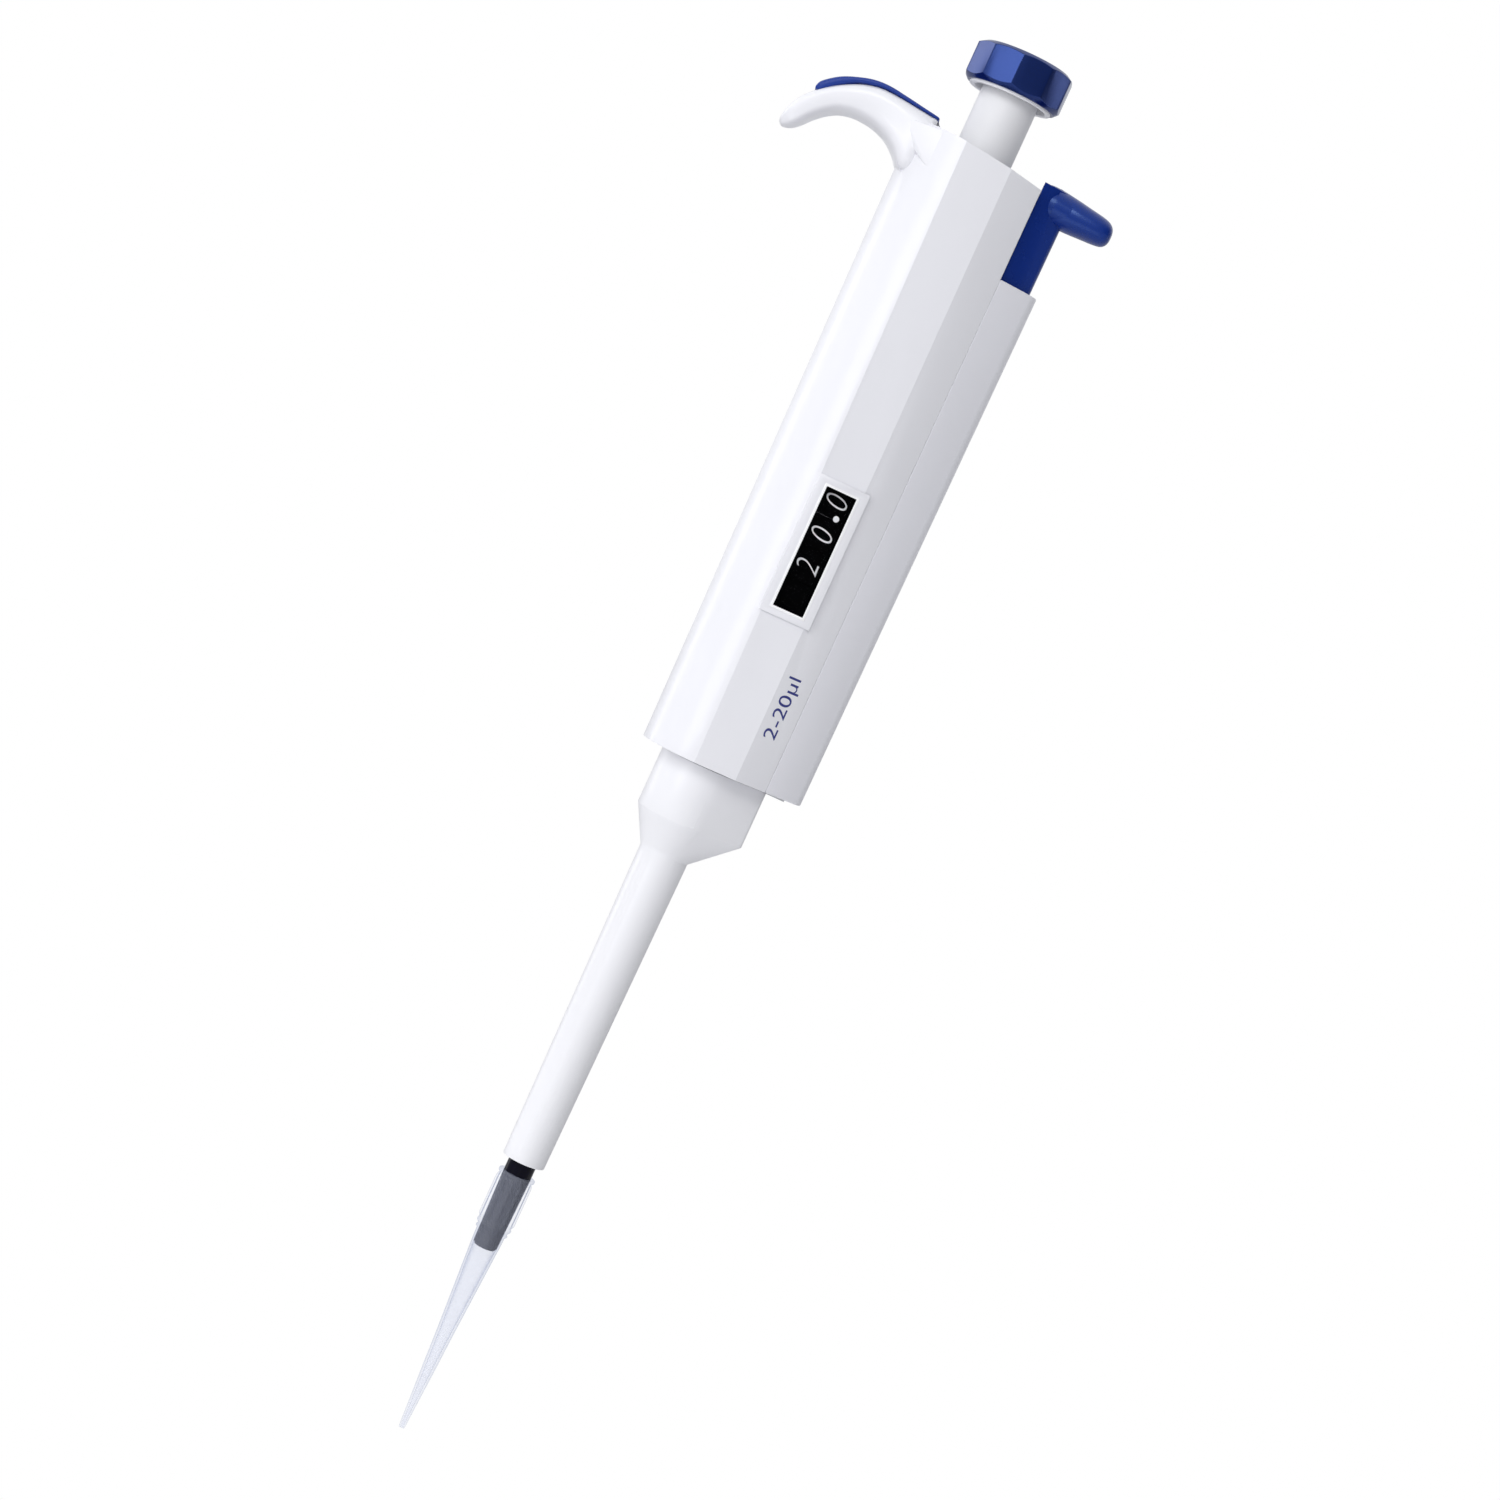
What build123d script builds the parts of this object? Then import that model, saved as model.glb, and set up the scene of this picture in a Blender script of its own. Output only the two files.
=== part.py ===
from build123d import *
import os
from math import cos, pi, radians, sin, sqrt, tan

# Adjustable 2-20 ul air-displacement micropipette, in millimetres.
# +Z runs up the plunger axis. The origin is on that axis, in the plane of the handle's lower face.
# The finger hook points to -X, the tip ejector to +X, and the volume display faces -Y.

# ---------------------------------------------------------------- driving dimensions
# Metering: a 4 mm2 piston moves 5 mm for 20 ul, and 0.9 mm more to blow out.
PISTON_AREA = 4.0
PISTON_RADIUS = sqrt(PISTON_AREA / pi)
STROKE = 20.0 / PISTON_AREA

# Handle: a round back blends into flat facets that turn towards the ejector strip.
HANDLE_BASE_RADIUS = 11.9
HANDLE_TOP_RADIUS = 13.2
HANDLE_TOP_Z = 114.6
HANDLE_LOFT_Z = 118.0
TOP_SLOPE = 6.0
DISPLAY_ANGLE = 12.0
STRIP_ANGLE = 34.5
SEAM_X = 11.5
STRIP_WALL = 1.1
STRIP_TOP_Z = 96.8
FLOOR_THICKNESS = 3.0
LOWER_CHAMBER_RADIUS = 7.6
UPPER_CHAMBER_RADIUS = 9.8
CHAMBER_STEP_Z = 27.0

# Finger hook, as (x, z) points of its side view.
HOOK_WIDTH = 13.0
PAD_WIDTH = 10.4
HOOK_TIP = (-34.7, 105.8)
HOOK_LIP = (-33.5, 105.7)
HOOK_SHOULDER = (-31.1, 113.2)
HOOK_PEAK = (-19.1, 119.4)
HOOK_NECK = (-9.9, 117.8)
HOOK_CREST = (-23.1, 112.5)
HOOK_ROOT = (-13.1, 107.6)

# Display.
DRUM_RADIUS = 9.3
DRUM_PITCH = 6.05
DRUM_GAP = 0.2
COUNTER_BASE_Z = 29.6
BEZEL_WIDTH = 9.6
BEZEL_BOTTOM_Z = 28.6
BEZEL_TOP_Z = 53.9
BEZEL_DEPTH = 1.2
BEZEL_RISE = 0.45
WINDOW_WIDTH = 5.8
WINDOW_BOTTOM_Z = 30.0
WINDOW_TOP_Z = 52.3

# Volume screw and plunger.
RUNNING = 0.05
SHANK_RADIUS = 3.2
THREAD_RADIUS = 3.95
ROD_RADIUS = 2.0
ROD_BORE = 2.08
SCREW_BOTTOM_Z = 21.4
SCREW_TOP_Z = 113.0
HEX_BOTTOM_Z = 96.0
THREAD_BOTTOM_Z = 66.0
HEX_ACROSS_FLATS = 6.8
SHANK_FLAT = 2.7
NUT_BOTTOM_Z = 80.0
NUT_TOP_Z = 90.0
BUSH_BOTTOM_Z = 105.0
BUSH_TOP_Z = 112.6
SLEEVE_RADIUS = 5.2
SLEEVE_BOTTOM_Z = 104.0
KNOB_BOTTOM_Z = 126.4
KNOB_TOP_Z = 133.5
KNOB_RADIUS = 9.13
KNOB_SIDES = 10
KNOB_TURN = 13.0
RIM_RADIUS = 7.6
RIM_BORE = 6.6
STOP_RING_BOTTOM_Z = 21.0
STOP_RING_TOP_Z = 25.85
KEY_WIDTH = 3.0
COLLAR_RADIUS = 6.4
COLLAR_HEIGHT = 2.95
PISTON_HEAD_Z = 10.0

# Lower end.
BOSS_RADIUS = 5.6
BOSS_BORE = 4.6
BOSS_BOTTOM_Z = -6.6
NUT_RADIUS = 6.6
NOZZLE_BODY_RADIUS = 4.6
SPRING_WELL_RADIUS = 3.5
SEAL_FLOOR_Z = -13.6
NOZZLE_END_Z = -93.7
TIP_TOP_Z = -79.5
TIP_END_Z = -129.1
SEAT_TOP_RADIUS = 2.56
SEAT_END_RADIUS = 2.2
SEAT_END_Z = -93.2

# Ejector.
ARM_GAP = 0.3
ARM_BOTTOM_Z = 80.0
ARM_TOP_Z = 115.2
EJECTOR_ROD_X = 14.0
EJECTOR_ROD_RADIUS = 1.2
LEDGE_BOTTOM_Z = 58.0
LEDGE_TOP_Z = 60.0
TONGUE_TOP_Z = 5.0
TONGUE_HALF_WIDTH = 2.1
SLOT_HALF_WIDTH = 2.4
SLOT_START_X = 8.0
SKIRT_RADIUS = 8.0
SKIRT_NOSE_X = 11.8
SKIRT_NOSE_HALF_WIDTH = 2.6
SKIRT_CORNER_RADIUS = 1.0
SKIRT_CLEARANCE = 0.35
SKIRT_RECESS_DEPTH = 0.6
SKIRT_TOP_Z = -0.3
SKIRT_BOTTOM_Z = -10.8
TUBE_TOP_RADIUS = 4.5
TUBE_END_RADIUS = 3.9
TUBE_TOP_Z = -17.5
TUBE_END_Z = -76.9

os.makedirs("parts", exist_ok=True)


# ---------------------------------------------------------------- shared outlines
def direction(angle):
    """Outward direction of a facet, turned from -Y towards +X by angle degrees."""
    return Vector(sin(radians(angle)), -cos(radians(angle)))


def handle_corners(radius, start_x, second_x, seam_x, edge_x):
    """Front-half corner points of the handle's outline, from the round back to the strip's edge."""
    first = Vector(start_x, -sqrt(radius**2 - start_x**2))
    second = first + Vector(second_x - start_x, (second_x - start_x) * tan(radians(DISPLAY_ANGLE)))
    seam = second + Vector(seam_x - second_x, (seam_x - second_x) * tan(radians(STRIP_ANGLE)))
    edge = seam + Vector(edge_x - seam_x, (edge_x - seam_x) * tan(radians(STRIP_ANGLE)))
    return first, second, seam, edge


def mirrored(point):
    return Vector(point.X, -point.Y)


BASE_OUTLINE = (HANDLE_BASE_RADIUS, -1.7, 6.0, SEAM_X, 17.1, 18.1)
TOP_OUTLINE = (HANDLE_TOP_RADIUS, -3.5, 5.4, SEAM_X + 0.2, 17.5, 18.8)


def outline(radius, start_x, second_x, seam_x, edge_x, nose_x):
    """Outline of handle and strip together, as a sketch."""
    first, second, seam, edge = handle_corners(radius, start_x, second_x, seam_x, edge_x)
    with BuildSketch() as shape:
        with BuildLine():
            ThreePointArc(mirrored(first), (-radius, 0), first)
            Polyline(first, second, seam, edge)
            ThreePointArc(edge, (nose_x, 0), mirrored(edge))
            Polyline(mirrored(edge), mirrored(seam), mirrored(second), mirrored(first))
        make_face()
    return shape.sketch


def tapering_envelope(inset):
    """Envelope of handle and strip, drawn in by inset on every side."""
    with BuildPart() as body:
        for z, shape in ((0.0, BASE_OUTLINE), (HANDLE_LOFT_Z, TOP_OUTLINE)):
            with BuildSketch(Plane.XY.offset(z)):
                add(outline(*shape))
                if inset:
                    offset(amount=-inset, kind=Kind.INTERSECTION, mode=Mode.REPLACE)
        loft(ruled=True)
    return body.part


def ring(outer, inner, low, high):
    """Plain ring about the plunger axis."""
    with BuildPart() as piece:
        with BuildSketch(Plane.XY.offset(low)):
            Circle(outer)
            if inner:
                Circle(inner, mode=Mode.SUBTRACT)
        extrude(amount=high - low)
    return piece.part


def turned(*points):
    """Solid of revolution about the plunger axis from (radius, z) points."""
    with BuildPart() as piece:
        with BuildSketch(Plane.XZ):
            with BuildLine():
                Polyline(*points, close=True)
            make_face()
        revolve(axis=Axis.Z)
    return piece.part


def block(low, high):
    """Axis-aligned box between two opposite corners."""
    with BuildPart() as piece:
        with BuildSketch(Plane.XY.offset(low[2])):
            with Locations(((low[0] + high[0]) / 2, (low[1] + high[1]) / 2)):
                Rectangle(high[0] - low[0], high[1] - low[1])
        extrude(amount=high[2] - low[2])
    return piece.part


def coil_spring(radius, wire, low, high, turns, centre_x=0.0):
    """Compression spring whose wire ends touch the planes z = low and z = high."""
    pitch = (high - low - wire) / turns
    with BuildPart() as piece:
        with BuildLine(Plane(origin=(centre_x, 0, low + wire / 2))) as path:
            Helix(pitch, pitch * turns, radius)
        with BuildSketch(Plane(origin=path.line @ 0, z_dir=path.line % 0)):
            Circle(wire / 2)
        sweep(path=path.line, is_frenet=True)
    return piece.part


def skirt_outline(grow):
    """Round back that runs through tangent flats to a blunt nose, enlarged by grow."""
    corner = SKIRT_CORNER_RADIUS + grow
    corner_x = SKIRT_NOSE_X - SKIRT_CORNER_RADIUS
    corner_y = SKIRT_NOSE_HALF_WIDTH - SKIRT_CORNER_RADIUS
    with BuildSketch() as shape:
        Circle(SKIRT_RADIUS + grow)
        with Locations((corner_x, corner_y), (corner_x, -corner_y)):
            Circle(corner)
        make_hull()
    return shape.sketch


def save(builder, name):
    """Label a finished piece and write it under its node name."""
    builder.part.label = name
    export_step(builder.part, f"parts/{name}.step")


envelope = tapering_envelope(0)
strip_inside = tapering_envelope(STRIP_WALL)
arm_envelope = tapering_envelope(STRIP_WALL + ARM_GAP)
top_plane = Plane.XY.offset(HANDLE_TOP_Z).rotated((0, TOP_SLOPE, 0))

# Plane of the display facet at the window's middle height.
window_middle_z = (BEZEL_BOTTOM_Z + BEZEL_TOP_Z) / 2
facet_normal = direction(DISPLAY_ANGLE)
facet_along = Vector(-facet_normal.Y, facet_normal.X)
share = window_middle_z / HANDLE_LOFT_Z
base_corner = handle_corners(*BASE_OUTLINE[:5])[0]
top_corner = handle_corners(*TOP_OUTLINE[:5])[0]
facet_corner = base_corner + (top_corner - base_corner) * share
facet_centre = facet_corner + facet_along * 4.45 + Vector(0, 0, window_middle_z)
facet_plane = Plane(origin=facet_centre, x_dir=facet_along, z_dir=facet_normal)

# ---------------------------------------------------------------- window
with BuildPart() as window_bezel:
    with BuildSketch(facet_plane.offset(-BEZEL_DEPTH)):
        RectangleRounded(BEZEL_WIDTH, BEZEL_TOP_Z - BEZEL_BOTTOM_Z, 1.2)
    extrude(amount=BEZEL_DEPTH + BEZEL_RISE)
    front_face = window_bezel.faces().sort_by(Axis((0, 0, 0), tuple(facet_normal)))[-1]
    chamfer(front_face.edges(), 0.3)
    with BuildSketch(facet_plane.offset(-BEZEL_DEPTH)):
        Rectangle(WINDOW_WIDTH, WINDOW_TOP_Z - WINDOW_BOTTOM_Z)
    extrude(amount=2 * BEZEL_DEPTH, mode=Mode.SUBTRACT)
save(window_bezel, "window_bezel")

with BuildPart() as window_lens:
    with BuildSketch(facet_plane.offset(-BEZEL_DEPTH)):
        Rectangle(WINDOW_WIDTH, WINDOW_TOP_Z - WINDOW_BOTTOM_Z)
    extrude(amount=BEZEL_DEPTH + 0.15)
save(window_lens, "window_lens")

with BuildPart() as window_cut:
    with BuildSketch(facet_plane.offset(-BEZEL_DEPTH)):
        RectangleRounded(BEZEL_WIDTH, BEZEL_TOP_Z - BEZEL_BOTTOM_Z, 1.2)
    extrude(amount=3.0)
    with BuildSketch(facet_plane.offset(-4.0)):
        Rectangle(WINDOW_WIDTH - 0.8, WINDOW_TOP_Z - WINDOW_BOTTOM_Z - 0.8)
    extrude(amount=4.0)

# ---------------------------------------------------------------- finger hook and its pad
with BuildPart() as finger_hook:
    with BuildSketch(Plane.XZ.offset(-HOOK_WIDTH / 2)):
        with BuildLine():
            ThreePointArc(HOOK_NECK, HOOK_PEAK, HOOK_SHOULDER)
            ThreePointArc(HOOK_SHOULDER, (-33.5, 109.7), HOOK_TIP)
            Line(HOOK_TIP, HOOK_LIP)
            ThreePointArc(HOOK_LIP, (-28.4, 110.4), HOOK_CREST)
            ThreePointArc(HOOK_CREST, (-17.2, 111.4), HOOK_ROOT)
            Polyline(HOOK_ROOT, (-10.6, 105.5), (-8.0, 105.5), (-8.0, 115.2), HOOK_NECK)
        make_face()
    extrude(amount=HOOK_WIDTH)
    # Plan view: the hook narrows a little towards a tip with rounded corners.
    with BuildSketch(Plane.XY.offset(100)):
        with BuildLine():
            Polyline((-5, -6.5), (-34.8, -5.2), (-34.8, 5.2), (-5, 6.5), close=True)
        plan = make_face()
        fillet(plan.vertices().group_by(Axis.X)[0], 2.6)
    extrude(amount=25, mode=Mode.INTERSECT)

# The pad lies in a bed cut into the hook's upper face, from the shoulder to the neck.
with BuildPart() as hook_pad:
    with BuildSketch(Plane.XZ.offset(-PAD_WIDTH / 2)):
        with BuildLine():
            pad_top = ThreePointArc((-10.6, 118.25), (-19.1, 119.5), (-30.6, 114.3))
            pad_low = ThreePointArc((-30.2, 113.1), (-19.1, 118.4), (-10.8, 117.1))
            Line(pad_top @ 1, pad_low @ 0)
            Line(pad_low @ 1, pad_top @ 0)
        make_face()
    extrude(amount=PAD_WIDTH)
save(hook_pad, "hook_pad")

# Flared root that carries the hook into the handle's round back.
with BuildPart() as hook_root:
    with BuildSketch(Plane.YZ.offset(-15.1)):
        with Locations((0, 113.6)):
            Rectangle(10.8, 6.4)
    with BuildSketch(Plane.YZ.offset(-7.8)):
        with Locations((0, 111.2)):
            Rectangle(20.4, 7.2)
    loft(ruled=True)

# Ledge inside the strip, pierced for the ejector rod.
with BuildPart() as spring_ledge:
    add(block((SEAM_X - 0.5, -5, LEDGE_BOTTOM_Z), (16.4, 5, LEDGE_TOP_Z)))
    add(arm_envelope, mode=Mode.INTERSECT)
    with BuildSketch(Plane.XY.offset(LEDGE_BOTTOM_Z)):
        with Locations((EJECTOR_ROD_X, 0)):
            Circle(EJECTOR_ROD_RADIUS + 0.1)
    extrude(amount=LEDGE_TOP_Z - LEDGE_BOTTOM_Z, mode=Mode.SUBTRACT)

# Thumb lever: a tapering oval bar that leaves the arm at its top.
with BuildPart() as thumb_lever:
    with BuildSketch(Plane.YZ.offset(14.6)):
        with Locations((0, 112.6)):
            Ellipse(4.0, 3.2)
    with BuildSketch(Plane.YZ.offset(25.9)):
        with Locations((0, 111.55)):
            Ellipse(3.2, 2.3)
    loft()
    fillet(thumb_lever.edges().sort_by(Axis.X)[-1], 1.4)

# ---------------------------------------------------------------- handle
with BuildPart() as handle_body:
    add(envelope)
    split(bisect_by=Plane(origin=(SEAM_X, 0, 0), z_dir=(1, 0, 0)), keep=Keep.BOTTOM)
    split(bisect_by=top_plane, keep=Keep.BOTTOM)
    add(finger_hook.part)
    add(hook_root.part)
    add(hook_pad.part, mode=Mode.SUBTRACT)
    add(window_cut.part, mode=Mode.SUBTRACT)
    # Chambers: narrow below for the springs, wide above for the counter and the volume screw.
    add(ring(LOWER_CHAMBER_RADIUS, 0, FLOOR_THICKNESS, CHAMBER_STEP_Z), mode=Mode.SUBTRACT)
    add(ring(UPPER_CHAMBER_RADIUS, 0, CHAMBER_STEP_Z, HANDLE_LOFT_Z), mode=Mode.SUBTRACT)
    # Shallow recess that the ejector sleeve's skirt closes, inside the flat shoulder of the base.
    with BuildSketch():
        add(skirt_outline(SKIRT_CLEARANCE))
    extrude(amount=SKIRT_RECESS_DEPTH, mode=Mode.SUBTRACT)
    # Boss below the floor that takes the nozzle's nut, with the spring well through it.
    add(ring(BOSS_RADIUS, 0, BOSS_BOTTOM_Z, FLOOR_THICKNESS))
    add(ring(BOSS_BORE, 0, BOSS_BOTTOM_Z, FLOOR_THICKNESS), mode=Mode.SUBTRACT)
    # Two grooves keep the stop ring from turning.
    add(block((-KEY_WIDTH / 2, -8.8, 14.0), (KEY_WIDTH / 2, 8.8, CHAMBER_STEP_Z)), mode=Mode.SUBTRACT)
    # Slot that lets the ejector's foot reach in to the sleeve's tongue.
    slot_low = (SLOT_START_X, -SLOT_HALF_WIDTH, -0.1)
    slot_high = (SEAM_X + 0.1, SLOT_HALF_WIDTH, 8.0)
    add(block(slot_low, slot_high), mode=Mode.SUBTRACT)
    # Ledge inside the strip that carries the ejector spring.
    add(spring_ledge.part)
save(handle_body, "handle_body")

with BuildPart() as channel_cover:
    add(envelope)
    add(strip_inside, mode=Mode.SUBTRACT)
    split(bisect_by=Plane(origin=(SEAM_X, 0, 0), z_dir=(1, 0, 0)), keep=Keep.TOP)
    split(bisect_by=Plane.XY.offset(STRIP_TOP_Z), keep=Keep.BOTTOM)
save(channel_cover, "channel_cover")

with BuildPart() as top_bush:
    add(ring(UPPER_CHAMBER_RADIUS, SLEEVE_RADIUS + RUNNING, BUSH_BOTTOM_Z, BUSH_TOP_Z))
    chamfer(top_bush.edges().filter_by(GeomType.CIRCLE).group_by(Axis.Z)[-1].sort_by(SortBy.RADIUS)[0], 0.5)
save(top_bush, "top_bush")

# ---------------------------------------------------------------- counter
drum_height = DRUM_PITCH - DRUM_GAP
hub_radius = SHANK_RADIUS + 1.0

with BuildPart() as counter_frame:
    add(ring(UPPER_CHAMBER_RADIUS, SHANK_RADIUS + 0.25, CHAMBER_STEP_Z, CHAMBER_STEP_Z + 1.9))
    add(ring(hub_radius, SHANK_RADIUS + 0.25, CHAMBER_STEP_Z, COUNTER_BASE_Z + 3 * DRUM_PITCH - 0.15))
save(counter_frame, "counter_frame")

for index, name in enumerate(("blank_drum", "tens_drum", "units_drum")):
    base = COUNTER_BASE_Z + index * DRUM_PITCH
    with BuildPart() as drum:
        add(ring(DRUM_RADIUS, hub_radius + RUNNING, base, base + drum_height))
        add(ring(DRUM_RADIUS - 1.6, hub_radius + 1.6, base + 1.6, base + drum_height), mode=Mode.SUBTRACT)
    save(drum, name)

# The finest drum rides on the turning shank and is driven by its flat.
with BuildPart() as tenths_drum:
    base = COUNTER_BASE_Z + 3 * DRUM_PITCH
    add(ring(DRUM_RADIUS, SHANK_RADIUS + RUNNING, base, base + drum_height))
    add(ring(DRUM_RADIUS - 1.6, hub_radius + 1.6, base + 1.6, base + drum_height), mode=Mode.SUBTRACT)
    add(block((-2.0, -SHANK_RADIUS - 0.4, base), (2.0, -SHANK_FLAT - RUNNING, base + drum_height)))
save(tenths_drum, "tenths_drum")

with BuildPart() as drum_retainer:
    base = COUNTER_BASE_Z + 4 * DRUM_PITCH
    add(ring(UPPER_CHAMBER_RADIUS, SHANK_RADIUS + 0.4, base, base + 1.4))
save(drum_retainer, "drum_retainer")

# ---------------------------------------------------------------- volume screw
with BuildPart() as screw_nut:
    add(ring(UPPER_CHAMBER_RADIUS, THREAD_RADIUS + RUNNING, NUT_BOTTOM_Z, NUT_TOP_Z))
save(screw_nut, "screw_nut")

with BuildPart() as brake_ring:
    add(ring(THREAD_RADIUS + 1.8, THREAD_RADIUS + RUNNING, NUT_TOP_Z, NUT_TOP_Z + 1.4))
save(brake_ring, "brake_ring")

clip_levels = (STOP_RING_BOTTOM_Z + 1.1, STOP_RING_TOP_Z + 0.1)
CLIP_THICKNESS = 0.5
CLIP_GROOVE_RADIUS = 2.85

with BuildPart() as volume_screw:
    add(ring(SHANK_RADIUS, ROD_BORE, SCREW_BOTTOM_Z, THREAD_BOTTOM_Z))
    add(ring(THREAD_RADIUS, ROD_BORE, THREAD_BOTTOM_Z, HEX_BOTTOM_Z))
    with BuildSketch(Plane.XY.offset(HEX_BOTTOM_Z)):
        RegularPolygon(HEX_ACROSS_FLATS / 2, 6, major_radius=False)
        Circle(ROD_BORE, mode=Mode.SUBTRACT)
    extrude(amount=SCREW_TOP_Z - HEX_BOTTOM_Z)
    flat_low = (-SHANK_RADIUS, -SHANK_RADIUS, COUNTER_BASE_Z)
    flat_high = (SHANK_RADIUS, -SHANK_FLAT, THREAD_BOTTOM_Z)
    add(block(flat_low, flat_high), mode=Mode.SUBTRACT)
    for level in clip_levels:
        groove = ring(SHANK_RADIUS, CLIP_GROOVE_RADIUS, level, level + CLIP_THICKNESS)
        add(groove, mode=Mode.SUBTRACT)
save(volume_screw, "volume_screw")

with BuildPart() as stop_clips:
    for level in clip_levels:
        add(ring(SHANK_RADIUS + 1.0, CLIP_GROOVE_RADIUS, level, level + CLIP_THICKNESS))
save(stop_clips, "stop_clips")

# Upper stop: a keyed ring held on the screw between two clips, so that it rises and falls
# with the screw but never turns.
with BuildPart() as stop_ring:
    shelf_z = STOP_RING_BOTTOM_Z + 1.75
    key_half = KEY_WIDTH / 2 - 0.1
    add(block((-key_half, -8.5, shelf_z), (key_half, 8.5, STOP_RING_TOP_Z)))
    add(ring(6.6, 0, STOP_RING_BOTTOM_Z, STOP_RING_TOP_Z))
    add(ring(SHANK_RADIUS + RUNNING, 0, STOP_RING_BOTTOM_Z, STOP_RING_TOP_Z), mode=Mode.SUBTRACT)
    add(ring(SHANK_RADIUS + 1.3, 0, STOP_RING_BOTTOM_Z, shelf_z), mode=Mode.SUBTRACT)
save(stop_ring, "stop_ring")

# ---------------------------------------------------------------- knob and plunger
with BuildPart() as knob:
    with BuildSketch(Plane.XY.offset(KNOB_BOTTOM_Z)):
        RegularPolygon(KNOB_RADIUS, KNOB_SIDES, rotation=KNOB_TURN)
    extrude(amount=KNOB_TOP_Z - KNOB_BOTTOM_Z)
    rounding = turned(
        (0, KNOB_BOTTOM_Z),
        (KNOB_RADIUS - 1.0, KNOB_BOTTOM_Z),
        (KNOB_RADIUS + 0.1, KNOB_BOTTOM_Z + 1.1),
        (KNOB_RADIUS + 0.1, KNOB_TOP_Z - 0.9),
        (KNOB_RADIUS - 1.3, KNOB_TOP_Z),
        (0, KNOB_TOP_Z),
    )
    add(rounding, mode=Mode.INTERSECT)
    add(ring(RIM_RADIUS, 0, KNOB_BOTTOM_Z, KNOB_BOTTOM_Z + 2.1), mode=Mode.SUBTRACT)
    add(ring(RIM_BORE, 0, KNOB_BOTTOM_Z, KNOB_TOP_Z - 3.5), mode=Mode.SUBTRACT)
    add(ring(ROD_RADIUS, 0, KNOB_BOTTOM_Z, KNOB_TOP_Z - 2.0), mode=Mode.SUBTRACT)
save(knob, "knob")

with BuildPart() as knob_rim:
    add(ring(RIM_RADIUS, RIM_BORE, KNOB_BOTTOM_Z - 0.4, KNOB_BOTTOM_Z + 2.1))
save(knob_rim, "knob_rim")

# The sleeve slides over the screw's hexagon, so turning the knob turns the screw at any height.
with BuildPart() as plunger_sleeve:
    add(ring(SLEEVE_RADIUS, ROD_RADIUS, SLEEVE_BOTTOM_Z, KNOB_TOP_Z - 3.5))
    with BuildSketch(Plane.XY.offset(SLEEVE_BOTTOM_Z)):
        RegularPolygon(HEX_ACROSS_FLATS / 2 + RUNNING, 6, major_radius=False)
    extrude(amount=17.0, mode=Mode.SUBTRACT)
save(plunger_sleeve, "plunger_sleeve")

collar_top_z = STOP_RING_BOTTOM_Z - RUNNING
collar_bottom_z = collar_top_z - COLLAR_HEIGHT
head_top_z = PISTON_HEAD_Z + 2.0

with BuildPart() as plunger_rod:
    add(ring(ROD_RADIUS, 0, head_top_z, KNOB_TOP_Z - 2.0))
save(plunger_rod, "plunger_rod")

with BuildPart() as rod_collar:
    add(ring(COLLAR_RADIUS, ROD_RADIUS, collar_bottom_z, collar_top_z))
save(rod_collar, "rod_collar")

with BuildPart() as piston_head:
    piston_top_z = head_top_z - 1.0
    add(ring(3.6, 0, PISTON_HEAD_Z, head_top_z))
    add(ring(2.0, 0, PISTON_HEAD_Z - 3.0, head_top_z))
    add(ring(PISTON_RADIUS, 0, PISTON_HEAD_Z - 3.0, piston_top_z), mode=Mode.SUBTRACT)
save(piston_head, "piston_head")

with BuildPart() as piston:
    add(ring(PISTON_RADIUS, 0, -50.0, piston_top_z))
save(piston, "piston")

# ---------------------------------------------------------------- springs and seals
seat_top_z = FLOOR_THICKNESS + 1.2
with BuildPart() as spring_seat:
    add(ring(LOWER_CHAMBER_RADIUS, BOSS_BORE + 0.1, FLOOR_THICKNESS, seat_top_z))
save(spring_seat, "spring_seat")

with BuildPart() as blowout_spring:
    add(coil_spring(6.2, 0.8, seat_top_z, collar_bottom_z - STROKE, 4))
save(blowout_spring, "blowout_spring")

with BuildPart() as piston_seal:
    add(ring(SPRING_WELL_RADIUS - RUNNING, PISTON_RADIUS + RUNNING, SEAL_FLOOR_Z, SEAL_FLOOR_Z + 1.2))
save(piston_seal, "piston_seal")

with BuildPart() as seal_ring:
    with BuildSketch(Plane.XZ):
        with Locations((2.75, SEAL_FLOOR_Z + 1.9)):
            Circle(0.68)
    revolve(axis=Axis.Z)
save(seal_ring, "seal_ring")

retainer_top_z = SEAL_FLOOR_Z + 3.8
with BuildPart() as seal_retainer:
    add(ring(SPRING_WELL_RADIUS - RUNNING, PISTON_RADIUS + 0.3, retainer_top_z - 1.2, retainer_top_z))
save(seal_retainer, "seal_retainer")

with BuildPart() as return_spring:
    add(coil_spring(2.85, 0.55, retainer_top_z, PISTON_HEAD_Z, 9))
save(return_spring, "return_spring")

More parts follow.
